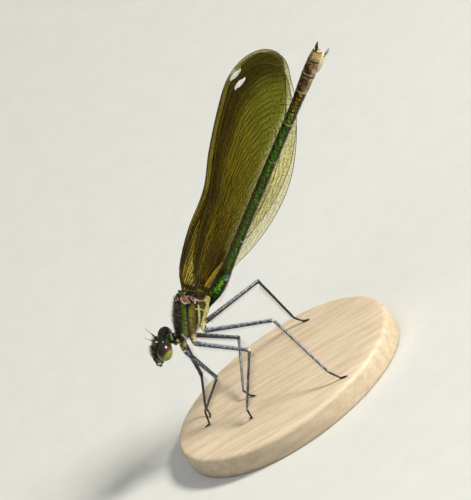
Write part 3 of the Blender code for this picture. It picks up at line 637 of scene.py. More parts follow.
def make_thorax(skin):
    rows = 110
    along = np.linspace(THORAX_STATIONS[0, 0], THORAX_STATIONS[-1, 0], rows)
    angles = circle(160)
    middles, rings = [], []
    for a, top, level, bottom, half in zip(along, *thorax_size(along)):
        middles.append(THORAX_START + THORAX_AXIS * a + THORAX_RISE * level)
        rings.append(ring_points(middles[-1], THORAX_RISE, Y_AXIS, half, top - level, level - bottom, angles))
    rings = np.stack(rings)
    inward = np.stack(middles)[:, None, :] - rings
    inward /= np.linalg.norm(inward, axis=2)[..., None]
    groove = sum(band(seam_distance(rings, name), 0.0, 0.02, 0.07) for name in SEAMS)
    groove = groove * ease(0.15, 0.5, np.abs(rings[..., 1]))
    rings = rings + inward * (SEAM_DEPTH * groove)[..., None]
    keel = band(rings[..., 1], 0.0, 0.03, 0.08) * (np.cos(angles) > 0)[None, :]
    rings = rings - inward * (KEEL_HEIGHT * keel)[..., None]
    turn = np.degrees(np.arccos(np.clip(np.cos(angles), -1, 1)))[None, :] * np.ones((rows, 1))
    skin.skin(rings, thorax_paint(rings, turn))


def thorax_surface(along, turn, sign):
    """Points and outward directions on the thorax; turn is measured down from the back, in degrees."""
    along, turn = np.broadcast_arrays(np.asarray(along, float), np.radians(np.asarray(turn, float)))
    top, level, bottom, half = thorax_size(along)
    reach = np.where(np.cos(turn) > 0, top - level, level - bottom)
    rise, out = reach * np.cos(turn), half * np.sin(turn)
    points = (THORAX_START + THORAX_AXIS * along[..., None] + THORAX_RISE * (level + rise)[..., None]
              + Y_AXIS * (sign * out)[..., None])
    normals = (THORAX_RISE * (np.cos(turn) / reach)[..., None]
               + Y_AXIS * (sign * np.sin(turn) / half)[..., None])
    return points, normals / np.linalg.norm(normals, axis=-1)[..., None]


RUST = (0.17, 0.055, 0.024, 0.1)
PLATE_PINK = (0.42, 0.22, 0.15, 0.0)
PLATE_RIM = (0.72, 0.66, 0.46, 0.0)
KNOB_BLACK = (0.012, 0.011, 0.010, 0.0)
KNOB_HIGHLIGHT = (0.62, 0.60, 0.54, 0.0)
# Plates at the wing bases: place along the thorax, turn from the back, half length, half width, height,
# where the pale edge lies, and how the plate is turned
WING_PLATES = (
    (4.72, 16.0, 0.28, 0.36, 0.10, 200.0, 10.0),
    (5.48, 44.0, 0.46, 0.56, 0.16, 150.0, 20.0),
    (6.20, 58.0, 0.22, 0.46, 0.10, 120.0, -10.0),
    (6.86, 80.0, 0.52, 0.50, 0.16, 95.0, 35.0),
)
# Small shiny knobs over them: place, turn and size
WING_KNOBS = (
    (5.36, 12.0, 0.16), (5.95, 21.0, 0.19), (6.08, 42.0, 0.13), (6.90, 33.0, 0.17), (7.20, 12.0, 0.13),
    (7.28, 30.0, 0.16), (6.55, 48.0, 0.12), (7.05, 52.0, 0.14), (7.35, 47.0, 0.11),
)


def make_plate(skin, along, turn, sign, length, width, height, rim_turn, spin):
    """A raised plate that follows the thorax, with a pale edge around part of it."""
    radial, spokes = 10, 28
    reach = np.concatenate((np.linspace(0.02, 1.0, radial), (1.04,)))[:, None]
    angle = circle(spokes)[None, :]
    uneven = 1.0 + 0.13 * np.sin(3 * angle + 9 * along) + 0.08 * np.sin(5 * angle + 4 * along)
    first, second = reach * uneven * np.cos(angle), reach * uneven * np.sin(angle)
    lean = math.radians(spin)
    one = first * math.cos(lean) * length - second * math.sin(lean) * width
    two = first * math.sin(lean) * length + second * math.cos(lean) * width
    points, normals = thorax_surface(along + one, turn + np.degrees(two / 1.6), sign)
    lift = height * np.sqrt(np.maximum(1 - reach ** 4, 0.0)) * (0.85 + 0.15 * np.sin(2 * angle + 7 * along))
    lift = lift - 0.10 * (reach > 1.0)
    past_rim = (np.degrees(angle) - rim_turn + 180) % 360 - 180
    colors = coat(RUST,
                  (PLATE_PINK, ease(0.35, 0.75, mottle(points, 0.16)) * 0.55),
                  (BLACK, ease(0.60, 0.90, mottle(points, 0.14, 4.0)) * 0.7),
                  (PLATE_RIM, ease(0.62, 0.74, reach) * band(past_rim, 0.0, 60.0, 30.0)))
    skin.skin(points + normals * lift[..., None], colors)


def make_wing_plates(skin):
    for _, sign in SIDES:
        for along, turn, *rest in WING_PLATES:
            make_plate(skin, along, turn, sign, *rest)
        for along, turn, size in WING_KNOBS:
            point, normal = thorax_surface(along, turn, sign)
            centre = point + normal * size * 0.5
            knob = ellipsoid(centre, (THORAX_AXIS, THORAX_RISE, Y_AXIS), (size,) * 3, 14, 18)
            # The pale specks on each black knob are painted highlights
            skin.skin(knob, mix(KNOB_BLACK, KNOB_HIGHLIGHT, ease(0.66, 0.84, mottle(knob, 0.11))))


THORAX_HAIRS, FACE_HAIRS, ABDOMEN_HAIRS = 1500, 800, 2600
HAIR_RADIUS = 0.009
HAIR_PALE = (0.30, 0.24, 0.13, 0.0)
HAIR_DARK = (0.05, 0.035, 0.018, 0.0)
HAIR_SILVER = (0.50, 0.52, 0.52, 0.0)


def scatter(rng):
    return np.array([rng.uniform(-0.35, 0.35) for _ in range(3)])


def make_body_hairs(rng, material):
    """Fine pale and dark hairs on the front of the thorax, its underside, the face and the abdomen."""
    form = Form()
    for _ in range(THORAX_HAIRS):
        sign = rng.choice((-1.0, 1.0))
        turn = rng.choice((rng.uniform(0, 55), rng.uniform(0, 100), rng.uniform(110, 180)))
        point, normal = thorax_surface(rng.uniform(0.75, 4.6), turn, sign)
        form.hair(point - normal * 0.02, normal + scatter(rng), rng.uniform(0.25, 0.55), HAIR_RADIUS,
                  HAIR_PALE if rng.random() < 0.6 else HAIR_DARK, bend=-THORAX_AXIS * 0.2)
    for _ in range(FACE_HAIRS):
        side, up = rng.uniform(-0.85, 0.85), rng.uniform(-1.6, 0.55)
        direction = unit((0.9, up, side))
        point = HEAD_MIDDLE + head_radius(direction[None])[0] * (direction @ np.stack(HEAD_AXES))
        out = HEAD_AHEAD * 0.8 + HEAD_CROWN * (0.25 * up) + Y_AXIS * (side * 0.4) + scatter(rng)
        form.hair(point, out, rng.uniform(0.22, 0.50), 0.010, HAIR_PALE if rng.random() < 0.35 else HAIR_DARK)
    for index in range(ABDOMEN_HAIRS):
        along = rng.uniform(0.0, 5.0) if index % 4 == 0 else rng.uniform(0.6, ABDOMEN_LENGTH - 0.3)
        turn = math.radians(rng.uniform(0, 360))
        centre, axis = abdomen_place(along)
        out = np.cross(axis, Y_AXIS) * math.cos(turn) + Y_AXIS * (math.sin(turn) * ABDOMEN_WIDTH_RATIO)
        root = centre + out * station_values(ABDOMEN_HALF_HEIGHT, along) * 0.93
        form.hair(root, out + axis * 0.9, rng.uniform(0.14, 0.28), HAIR_RADIUS, HAIR_SILVER)
    make_piece("body_hairs", form, material)


# Spots and lines of the neck: start, end, half width and colour
NECK_MARKS = (
    ((-4.33, 10.24), (-4.18, 9.53), 0.10, (0.24, 0.32, 0.12)),
    ((-3.85, 10.30), (-3.80, 9.90), 0.05, (0.20, 0.26, 0.34)),
    ((-3.50, 9.36), (-3.42, 9.28), 0.13, (0.62, 0.38, 0.07)),
    ((-3.92, 8.86), (-3.88, 8.80), 0.07, (0.75, 0.70, 0.45)),
    ((-3.40, 8.64), (-3.34, 8.58), 0.08, (0.75, 0.70, 0.45)),
)
NECK_GREEN = (0.012, 0.022, 0.010, 0.55)
NECK_BAND = (0.20, 0.24, 0.07, 0.2)
# Its half width along the way from the front to the rear
NECK_SWELL = np.array((
    (-0.25, 0.40), (0.0, 0.50), (0.12, 0.76), (0.28, 0.85), (0.42, 0.76), (0.62, 0.96), (0.80, 0.98),
    (0.92, 0.90), (1.0, 0.78), (1.15, 0.70)))


def make_neck(skin):
    way = PROTHORAX_REAR - PROTHORAX_FRONT
    up = np.cross(unit(way), Y_AXIS)
    up = up if up[2] > 0 else -up
    rows = 70
    share = np.linspace(NECK_SWELL[0, 0], NECK_SWELL[-1, 0], rows)
    angles = circle(80)
    rings = np.stack([ring_points(PROTHORAX_FRONT + way * s, up, Y_AXIS, w, 0.9 * w, 0.95 * w, angles)
                      for s, w in zip(share, station_values(NECK_SWELL, share))])
    place = share[:, None] * np.ones((1, len(angles)))
    below = (np.cos(angles) < -0.35)[None, :] * np.ones((rows, 1))
    paint = coat(plain(NECK_GREEN, rings),
                 (NECK_BAND, band(place, 0.2, 0.06, 0.08) * band(np.abs(rings[..., 1]), 0.55, 0.16, 0.1)),
                 (YELLOW, below * band(place, 0.62, 0.12, 0.1)))
    for start, end, half, color in NECK_MARKS:
        paint = mix(paint, (*color, 0.0), stroke(rings, start, end, half))
    skin.skin(rings, paint)


# Abdomen

ABDOMEN_START = np.array((9.85, 0.0, 13.2))
SEGMENT_LENGTHS = (1.1, 2.2, 5.4, 5.7, 5.7, 5.35, 4.65, 2.5, 2.0, 1.2)
ABDOMEN_PITCH = np.array(((0.0, 27.0), (3.0, 34.8), (25.0, 35.0), (35.8, 37.0)))
ABDOMEN_HALF_HEIGHT = np.array((
    (-1.2, 0.70), (0.0, 0.95), (1.1, 0.98), (3.3, 0.82), (6.0, 0.68), (20.0, 0.65), (27.0, 0.66),
    (30.1, 0.72), (32.6, 0.78), (34.6, 0.71), (35.8, 0.52)))
ABDOMEN_WIDTH_RATIO = 0.92
ABDOMEN_LENGTH = sum(SEGMENT_LENGTHS)
RING_STEP = 0.07
ROUTE_STEP = 0.05
route_places = np.arange(0.0, ABDOMEN_LENGTH + 1.0, ROUTE_STEP)
route_heading = np.radians(station_values(ABDOMEN_PITCH, route_places))
route_points = ABDOMEN_START + np.stack((np.cumsum(np.cos(route_heading)), np.zeros_like(route_places),
                                         np.cumsum(np.sin(route_heading))), 1) * ROUTE_STEP

# The bright emerald and the bronze below are painted highlight colours of the abdomen's metal
EMERALD_HIGHLIGHT = (0.090, 0.78, 0.045, 0.70)
DEEP_GREEN = (0.002, 0.013, 0.004, 0.50)
BRONZE_HIGHLIGHT = (0.42, 0.28, 0.015, 0.80)
TAIL_BROWN = (0.040, 0.022, 0.009, 0.30)
TAIL_TAN = (0.21, 0.120, 0.036, 0.20)
LIME_HIGHLIGHT = (0.34, 0.46, 0.02, 0.55)
BLUE_SPOT = (0.08, 0.24, 0.50, 0.5)
BELLY_BROWN = (0.085, 0.050, 0.030, 0.1)
BRONZE_SHADE = (0.020, 0.013, 0.004, 0.5)
TAIL_PALE = (0.48, 0.36, 0.20, 0.0)
TAIL_END = (0.46, 0.32, 0.12, 0.0)
JOINT_PALE = (0.50, 0.42, 0.30, 0.0)
JOINT_DARK = (0.010, 0.007, 0.004, 0.1)
TAIL_FROM = 30.0                     # the last three segments are brown
# How far the underside reaches against the back, along the abdomen
ABDOMEN_DROP = np.array((
    (-1.2, 0.30), (-0.4, 0.38), (0.0, 0.50), (0.8, 0.66), (1.6, 0.80), (3.0, 0.94), (5.0, 0.96)))


def abdomen_place(along):
    centre = np.array([np.interp(along, route_places, route_points[:, axis]) for axis in range(3)])
    heading = np.interp(along, route_places, route_heading)
    ahead = np.array((math.cos(heading), 0.0, math.sin(heading)))
    return centre + ahead * min(along, 0.0), ahead


def abdomen_paint(points, along, height, segment, share):
    """Height runs from -1 under the abdomen to 1 on its back; share is the place in the segment."""
    blotch, fine = mottle(points, 0.40), mottle(points, 0.13, 5.0)
    # A painted highlight: an emerald band along the upper side, turning bronze towards the tail and broken
    # into painted glints
    shine = mix(EMERALD_HIGHLIGHT, BRONZE_HIGHLIGHT, ease(24.0, 28.5, along + 2.0 * (blotch - 0.5)))
    shade = mix(DEEP_GREEN, BRONZE_SHADE, ease(24.0, 28.0, along))
    painted_glint = np.maximum(ease(0.60, 0.80, mottle(points, 0.21, 8.0)), 0.40 * ease(0.60, 0.85, fine))
    painted_highlight = band(height, 0.20, 0.28, 0.24) * (0.02 + 0.09 * blotch + 1.05 * painted_glint)
    # A painted lime-green highlight streak along the upper side of the abdomen's base
    lime_highlight = band(height, 0.80 - 0.30 * (along - 0.5), 0.12, 0.16) * band(along, 1.6, 1.2, 0.4)
    tail = ease(TAIL_FROM, TAIL_FROM + 0.4, along)
    brown = mix(TAIL_BROWN, TAIL_TAN,
                ease(0.35, 0.75, blotch * 0.6 + fine * 0.4 + 0.25 * ease(0.5, 0.9, share)))
    joint = band(share, 1.0, 0.02, 0.02) + band(share, 0.0, 0.015, 0.02)
    pale = 0.20 + 0.25 * (segment >= 7) + 0.45 * ease(0.1, -0.5, height)
    return coat(shade,
                (shine, np.clip(painted_highlight, 0, 1) * ease(0.5, 3.0, along)),
                (LIME_HIGHLIGHT, lime_highlight * (0.15 + 0.85 * ease(0.3, 0.7, fine))),
                (BLUE_SPOT, band(along, 3.6, 0.25, 0.25) * band(height, -0.45, 0.12, 0.15)),
                (BELLY_BROWN, ease(-0.40, -0.72, height) * ease(1.0, 3.0, along)),
                (brown, tail),
                (TAIL_PALE, tail * ease(0.0, -0.45, height) * (0.3 + 0.6 * blotch)),
                (TAIL_END, ease(34.6, 34.8, along) * ease(0.85, 0.45, height) * 0.8),
                (JOINT_PALE, np.clip(joint * pale, 0, 1) * ease(2.0, 3.4, along)),
                (JOINT_DARK, tail * band(share, 0.91, 0.05, 0.03) * 0.85))


def segment_size(before, after, along):
    """Narrower at the joints before and after a place, with a swelling ahead of the rear one."""
    waist = 0.10 * math.exp(-(before / 0.10) ** 2) + 0.06 * math.exp(-(after / 0.05) ** 2)
    swelling = 0.035 * math.exp(-((after - 0.18) / 0.14) ** 2)
    return (1.0 - waist + swelling - 0.03 * ease(0.4, 1.6, min(before, after))
            + 0.07 * ease(TAIL_FROM - 0.2, TAIL_FROM + 0.6, along))


def make_abdomen(skin):
    angles = circle(56)
    rings, places = [], []

    def add(along, segment, share, size=1.0, width=1.0):
        centre, axis = abdomen_place(along)
        rise = station_values(ABDOMEN_HALF_HEIGHT, along) * size
        drop = rise * station_values(ABDOMEN_DROP, along)
        rings.append(ring_points(centre, np.cross(axis, Y_AXIS), Y_AXIS, rise * width, rise, drop, angles))
        places.append((along, segment, share))

    for along in np.linspace(ABDOMEN_HALF_HEIGHT[0, 0], 0.0, 12, endpoint=False):
        add(along, 1, 0.5)
    start = 0.0
    for number, length in enumerate(SEGMENT_LENGTHS, 1):
        count = max(int(length / RING_STEP), 20)
        for share in np.linspace(0.0, 1.0, count, endpoint=number == len(SEGMENT_LENGTHS)):
            along = start + length * share
            size = segment_size(length * share, length * (1 - share), along)
            add(along, number, share, size, ABDOMEN_WIDTH_RATIO)
        start += length
    rings = np.stack(rings)
    along, segment, share = np.array(places).T[..., None] * np.ones(len(angles))
    height = np.cos(angles) * np.ones_like(along)
    skin.skin(rings, abdomen_paint(rings, along, height, segment, share))


# Wings

WING_PITCH = math.radians(36.0)
FOREWING_ROOT = np.array((8.3, 0.0, 16.2))
HINDWING_ROOT = np.array((9.9, 0.0, 15.4))
FOREWING_LEADING = (
    (-1.1, 0.10), (0.2, 0.75), (2.0, 1.60), (7.0, 2.32), (12.9, 2.45), (18.0, 3.58), (24.0, 4.52),
    (27.8, 4.80), (30.7, 4.15), (32.3, 3.15), (33.05, 2.15), (33.25, 1.2))
FOREWING_TRAILING = (
    (33.25, 1.2), (33.05, 0.3), (32.2, -0.6), (30.2, -1.6), (26.3, -3.05), (21.5, -4.10), (17.0, -4.50),
    (13.0, -4.30), (8.0, -3.40), (4.2, -2.25), (2.2, -1.45))
HINDWING_LEADING = (
    (-1.1, 0.10), (0.2, 0.85), (2.0, 1.75), (7.0, 2.75), (11.8, 3.25), (17.0, 4.45), (23.0, 5.40),
    (26.6, 5.65), (29.3, 5.05), (30.8, 4.10), (31.5, 3.10), (31.7, 2.1))
HINDWING_TRAILING = (
    (31.7, 2.1), (31.5, 1.2), (30.7, 0.25), (28.9, -0.85), (25.7, -2.65), (21.6, -4.00), (17.3, -4.75),
    (12.7, -4.60), (8.2, -3.65), (4.6, -2.30), (2.4, -1.35))
# Name, root, leading edge, trailing edge, and whether it is the outer one of its side
WINGS = (("forewing", FOREWING_ROOT, FOREWING_LEADING, FOREWING_TRAILING, False),
         ("hindwing", HINDWING_ROOT, HINDWING_LEADING, HINDWING_TRAILING, True))
WING_ROOT_DEPTH = 0.55
ROOT_BOW = 0.15                      # how far the short inner edge bows towards the leading edge
VEIN_ARCH = 0.9
LEAN_PITCH = math.radians(35.0)
WING_TOP_HEIGHT, WING_LOW_HEIGHT = 6.8, 0.7
WING_TOP_Y, WING_LOW_Y = 0.28, 1.10
WING_LAYER = 0.82                    # how far the hindwing lies outside the forewing
ROOT_BLEND = 4.0
FOREWING_ROOT_Y, HINDWING_ROOT_Y = 0.62, 1.38
MAIN_VEINS = (0.0, 0.045, 0.09, 0.16, 0.25, 0.36, 0.48, 0.60, 0.73, 0.87, 1.0)
VEIN_STARTS = (0.0, 0.10, 0.0, 0.14, 0.05, 0.20, 0.05, 0.22, 0.10, 0.30, 0.0)
CELL = 0.50                          # width of a row of cells
CELL_LENGTH, NARROWEST_CELL, DEEPEST_LEVEL = 0.42, 0.10, 4
PLEAT = 0.07                         # how far main veins stand out of the wing's middle face
FORE_STIGMA, HIND_STIGMA = 29.2, 27.9      # how far along each wing the white patch has its middle
STIGMA_LENGTH, STIGMA_WIDTH, STIGMA_INSET, STIGMA_LEAN, STIGMA_LIFT = 1.7, 0.55, 0.10, 0.45, 0.06


class Wing:
    """Maps a place along (0 to 1) and across (0 leading, 1 trailing) a wing into the insect's frame."""

    def __init__(self, root, leading, trailing, sign, outer):
        self.root, self.sign, self.outer = root, sign, outer
        self.lead = self.sample(leading)
        self.margin = self.sample(trailing)
        self.start_top = np.array(leading[0])
        self.start_low = self.start_top - (0.0, WING_ROOT_DEPTH)
        self.apex, self.heel = np.array(leading[-1]), np.array(trailing[-1])

    @staticmethod
    def sample(points):
        points = np.array(points)
        lengths = np.concatenate(((0.0,), np.cumsum(np.linalg.norm(np.diff(points, axis=0), axis=1))))
        goals = np.linspace(0.0, lengths[-1], 600)
        return np.stack([smooth_values(lengths, points[:, axis], goals) for axis in (0, 1)], 1)

    @staticmethod
    def read(curve, share):
        places = np.linspace(0.0, 1.0, len(curve))
        return np.stack([np.interp(share, places, curve[:, axis]) for axis in (0, 1)], -1)

    def flat(self, s, f):
        s, f = np.broadcast_arrays(np.asarray(s, float), np.asarray(f, float))
        lead, margin = self.read(self.lead, s), self.read(self.margin, f)
        s, f = s[..., None], f[..., None]
        inner = self.start_low * (1 - s) + self.heel * s + (0.0, ROOT_BOW) * (4 * s * (1 - s))
        root = self.start_top * (1 - f) + self.start_low * f
        flat = ((1 - f) * lead + f * inner + (1 - s) * root + s * margin - (1 - s) * (1 - f) * self.start_top
                - s * (1 - f) * self.apex - (1 - s) * f * self.start_low - s * f * self.heel)
        flat[..., 1] += (VEIN_ARCH * 4 * s * (1 - s) * f * (1 - f))[..., 0]
        return flat

    def place(self, s, f, lift=0.0):
        s, f = np.broadcast_arrays(np.asarray(s, float), np.asarray(f, float))
        return self.solid(self.flat(s, f), f, s, lift)

    def upright(self, flat):
        """The x and z of points of the wing."""
        along, across = flat[..., 0], flat[..., 1]
        return (self.root[0] + along * math.cos(WING_PITCH) - across * math.sin(WING_PITCH),
                self.root[2] + along * math.sin(WING_PITCH) + across * math.cos(WING_PITCH))

    def height(self, flat):
        """How high points lie over the abdomen's middle line."""
        x, z = self.upright(flat)
        return -(x - ABDOMEN_START[0]) * math.sin(LEAN_PITCH) + (z - ABDOMEN_START[2]) * math.cos(LEAN_PITCH)

    def solid(self, flat, f, s, lift):
        """Points in the insect's frame; lift moves them out of the wing's face."""
        along = flat[..., 0]
        x, z = self.upright(flat)
        height = self.height(flat)
        lean = np.clip((WING_TOP_HEIGHT - height) / (WING_TOP_HEIGHT - WING_LOW_HEIGHT), 0.0, 1.0)
        depth = WING_TOP_Y + (WING_LOW_Y - WING_TOP_Y) * lean + (WING_LAYER if self.outer else 0.0)
        root_depth = HINDWING_ROOT_Y if self.outer else FOREWING_ROOT_Y
        depth = root_depth + (depth - root_depth) * ease(0.0, ROOT_BLEND, along)
        pleats = np.interp(f, MAIN_VEINS, [PLEAT * (-1) ** k for k in range(len(MAIN_VEINS))])
        depth = depth + pleats * ease(0.03, 0.2, s) * ease(1.0, 0.85, s) + lift
        return np.stack((x, self.sign * depth, z), -1)

    def stigma(self, middle):
        """Both faces of the white patch behind the leading edge near the tip."""
        share, inset = np.meshgrid(np.linspace(-0.5, 0.5, 14), np.linspace(0.0, 1.0, 8))
        centre = np.interp(middle, self.lead[:, 0], np.linspace(0.0, 1.0, len(self.lead)))
        length = np.linalg.norm(np.diff(self.lead, axis=0), axis=1).sum()
        s = centre + (STIGMA_LENGTH * share + STIGMA_LEAN * (inset - 0.5)) / length
        before, after = self.read(self.lead, s - 0.01), self.read(self.lead, s + 0.01)
        ahead = (after - before) / np.linalg.norm(after - before, axis=2)[..., None]
        inward = np.stack((ahead[..., 1], -ahead[..., 0]), -1)
        rounding = np.sqrt(np.maximum(1.0 - np.abs(2 * share) ** 3, 0.02))
        flat = self.read(self.lead, s) + inward * (
            STIGMA_INSET + STIGMA_WIDTH * (0.5 + (inset - 0.5) * rounding))[..., None]
        return tuple(self.solid(flat, np.zeros_like(s), s, lift) for lift in (STIGMA_LIFT, -STIGMA_LIFT))

    def spread(self, s, first, second):
        return float(np.linalg.norm(self.flat(s, second) - self.flat(s, first)))


def wing_veins(wing, rng):
    """Lines as (across, from, to, level) and cross veins as (along, across, across)."""
    lines = [(f, start, 1.0, 0) for f, start in zip(MAIN_VEINS, VEIN_STARTS)]
    crosses = []

    def fill(first, second, start, level):
        """Cross veins between two lines, and a further line where they part."""
        split = 1.0
        if level < DEEPEST_LEVEL:
            for s in np.linspace(start, 0.985, 120):
                if wing.spread(s, first, second) > 2 * CELL:
                    split = float(s)
                    break
        s = start
        while s < min(split, 0.99):
            width = wing.spread(s, first, second)
            middle = (first + second) / 2
            step = wing.flat(min(s + 0.01, 1.0), middle) - wing.flat(s, middle)
            length = float(np.linalg.norm(step)) / 0.01
            if width > NARROWEST_CELL:
                crosses.append((s, first, second))
            s += CELL_LENGTH * rng.uniform(0.85, 1.35) / max(length, 1.0)
        if split < 0.985:
            middle = (first + second) / 2
            lines.append((middle, split, 1.0, level + 1))
            fill(first, middle, split, level + 1)
            fill(middle, second, split, level + 1)

    for first, second in zip(MAIN_VEINS, MAIN_VEINS[1:]):
        fill(first, second, 0.02, 0)
    return lines, crosses


def vein_tube(form, points, radii, normal, paint):
    """A four-sided vein: a diamond in section."""
    ahead = np.gradient(points, axis=0)
    ahead /= np.maximum(np.linalg.norm(ahead, axis=1), 1e-9)[:, None]
    across = np.cross(ahead, normal)
    across /= np.linalg.norm(across, axis=1)[:, None]
    radii = np.asarray(radii, float)[:, None]
    out = np.broadcast_to(normal, points.shape)
    rings = np.stack((points + out * radii, points + across * radii, points - out * radii,
                      points - across * radii), 1)
    form.skin(rings, paint)


# What each face of a membrane lets through, at the base, in the middle and at the tip
WING_TINTS = ((0.900, 0.860, 0.560), (0.885, 0.852, 0.560), (0.845, 0.855, 0.650))
CLEAR_TINT = (0.980, 0.975, 0.925)   # beside the abdomen the film is nearly clear
LOW_TINT = (0.950, 0.935, 0.770)     # and a little darker below it
WHITE = (1.0, 1.0, 1.0)
EDGE_SHADE = (0.80, 0.78, 0.70)      # the strip behind the leading edge is darker by this
INNER_SHADE = (0.76, 0.66, 0.36)     # so is the hindwing's inner part
FRONT_SHADE = (0.93, 0.90, 0.80)     # and the forewing where the hindwing doesn't reach
FILM_SHARE = 0.035                   # the film's own share of the light
ROOT_PLATE = -0.25                   # how far along the wing its hard dark root reaches
VEIN_PAINT = (0.040, 0.030, 0.006, 0.0)
VEIN_RADII = (0.052, 0.036, 0.028, 0.022, 0.018)      # main veins first
MARGIN_RADIUS = 0.035
CROSS_RADIUS = 0.0075
CROSS_PAINT = (0.075, 0.058, 0.012, 0.0)
STIGMA_WHITE = (0.85, 0.86, 0.80, 0.0)
MEMBRANE_HALF = 0.012


def film_paint(wing, s, f):
    """What the film lets through, with its own share of the light as the fourth number."""
    flat = wing.flat(s, f)
    along, height = flat[..., 0], wing.height(flat)
    base, middle, tip = WING_TINTS
    tint = coat(middle, (tip, ease(0.62, 0.95, s)), (base, ease(0.45, 0.05, s)))
    for shade, share in ((EDGE_SHADE, ease(0.11, 0.07, f)),
                         (INNER_SHADE, ease(8.0, 5.0, along) * ease(0.35, 0.55, f) * wing.outer),
                         (FRONT_SHADE, ease(15.0, 9.0, along) * ease(0.40, 0.25, f) * (not wing.outer))):
        tint = tint * mix(WHITE, shade, share)
    clear = mix(CLEAR_TINT, LOW_TINT, ease(-0.45, -0.65, height))
    tint = mix(tint, clear, ease(1.10, 0.85, height) * ease(3.0, 5.0, along))
    hard = ease(ROOT_PLATE + 0.5, ROOT_PLATE, along)
    hide = FILM_SHARE * (1 - 0.75 * ease(1.9, 1.25, height))
    hide = hide + (0.95 - hide) * hard
    return np.concatenate((tint * (1 - 0.93 * hard[..., None]), hide[..., None]), -1)


def make_wing(name, wing, rng, membrane, vein):
    lines, crosses = wing_veins(wing, rng)
    rows = np.array(sorted({across for across, *_ in lines}))
    s, f = np.meshgrid(np.linspace(0.0, 1.0, 150), rows)
    form = Form()
    form.slab(wing.place(s, f, MEMBRANE_HALF), wing.place(s, f, -MEMBRANE_HALF), film_paint(wing, s, f))
    make_piece(f"membrane_{name}", form, membrane, [name])

    form = Form()
    normal = Y_AXIS * wing.sign
    for across, start, finish, level in lines:
        places = np.linspace(start, finish, max(int(90 * (finish - start)), 4))
        near_edge = 1.35 if across < 0.1 else 1.0
        height = wing.height(wing.flat(places, across))
        radii = VEIN_RADII[level] * near_edge * (1.0 - 0.45 * places) * (0.7 + 0.3 * ease(0.02, 0.12, places))
        radii = radii * (0.5 + 0.5 * ease(0.35, 1.0, height))
        vein_tube(form, wing.place(places, across), radii, normal, VEIN_PAINT)
    margin = np.linspace(0.0, 1.0, 160)
    vein_tube(form, wing.place(1.0, margin), np.full_like(margin, MARGIN_RADIUS), normal, VEIN_PAINT)
    for along, first, second in crosses:
        middle = wing.flat(along, (first + second) / 2)
        seen = max(ease(1.10, 0.80, wing.height(middle)), ease(10.0, 5.0, middle[0]), ease(0.12, 0.06, first))
        radii = np.full(2, CROSS_RADIUS * (1 + 1.1 * seen))
        vein_tube(form, wing.place(along, np.array((first, second))), radii, normal, CROSS_PAINT)
    make_piece(f"veins_{name}", form, vein)

    form = Form()
    form.slab(*wing.stigma(HIND_STIGMA if wing.outer else FORE_STIGMA), STIGMA_WHITE)
    make_piece(f"stigma_{name}", form, vein)


# Legs

LEGS = {
    "front_left": ((3.75, -0.35, 10.75), (3.42, -0.80, 9.60), (4.80, -1.80, 4.90), (0.80, -1.20, 1.60),
                   (-0.20, -1.20, 0.14)),
    "front_right": ((3.75, 0.35, 10.75), (3.42, 0.80, 9.60), (2.35, 1.65, 4.60), (0.25, 1.65, 0.75),
                    (0.35, 0.50, 0.14)),
    "middle_left": ((5.45, -0.60, 11.15), (5.02, -1.00, 9.85), (10.8, -4.00, 6.90), (6.60, -5.90, 1.30),
                    (6.10, -5.30, 0.14)),
    "middle_right": ((5.45, 0.60, 11.15), (5.02, 1.00, 9.85), (7.70, 5.20, 4.60), (5.70, 0.10, 0.75),
                     (6.70, -0.70, 0.14)),
    "hind_left": ((7.30, -0.60, 11.80), (7.00, -1.00, 10.60), (15.4, -3.90, 8.60), (18.15, -8.20, 1.20),
                  (19.7, -8.80, 0.14)),
    "hind_right": ((7.30, 0.60, 11.80), (7.00, 1.00, 10.60), (13.3, 7.20, 8.70), (13.0, 10.1, 0.75),
                   (14.4, 9.60, 0.14)),
}
LEG_DARK = (0.009, 0.010, 0.013, 0.1)
LEG_LIT_GREY = (0.045, 0.060, 0.092, 0.1)
LEG_HIGHLIGHT = (0.50, 0.52, 0.54, 0.0)
LEG_SPOT = (0.60, 0.54, 0.36, 0.0)
COXA_DARK = (0.05, 0.045, 0.03, 0.1)
COXA_PALE = (0.62, 0.56, 0.28, 0.0)
BRISTLE_DARK = (0.040, 0.032, 0.020, 0.0)
# The fuzz's pale colour is painted backlight: hairs lit from behind
FUZZ_BACKLIT_PALE = (0.34, 0.31, 0.25, 0.0)
# Coxa, femur and tibia: rings along, sides round, places along and the radius there, and how strong the
# painted highlight on top is
LEG_STRETCHES = (
    (14, 28, (0, 0.35, 0.8, 1.0), (0.36, 0.41, 0.33, 0.27), None),
    (130, 20, (0, 0.06, 0.12, 0.5, 0.9, 0.97, 1.0), (0.28, 0.31, 0.29, 0.26, 0.22, 0.25, 0.22), 0.75),
    (130, 16, (0, 0.04, 0.10, 0.5, 0.95, 1.0), (0.20, 0.20, 0.16, 0.145, 0.14, 0.12), 0.55),
)
SOLE_HEIGHT, TOE_HEIGHT = 0.15, 0.13
# Bristles of femur and tibia: distance between them, longest one, and the leg's radius
BRISTLE_ROWS = ((0.24, 0.62, 0.25), (0.30, 1.15, 0.14))
BRISTLE_RADIUS, FUZZ_RADIUS = 0.024, 0.008
FUZZ_PER_MM = 14
BRISTLE_ROOT = 0.85                  # how far out a bristle starts, against the leg's radius


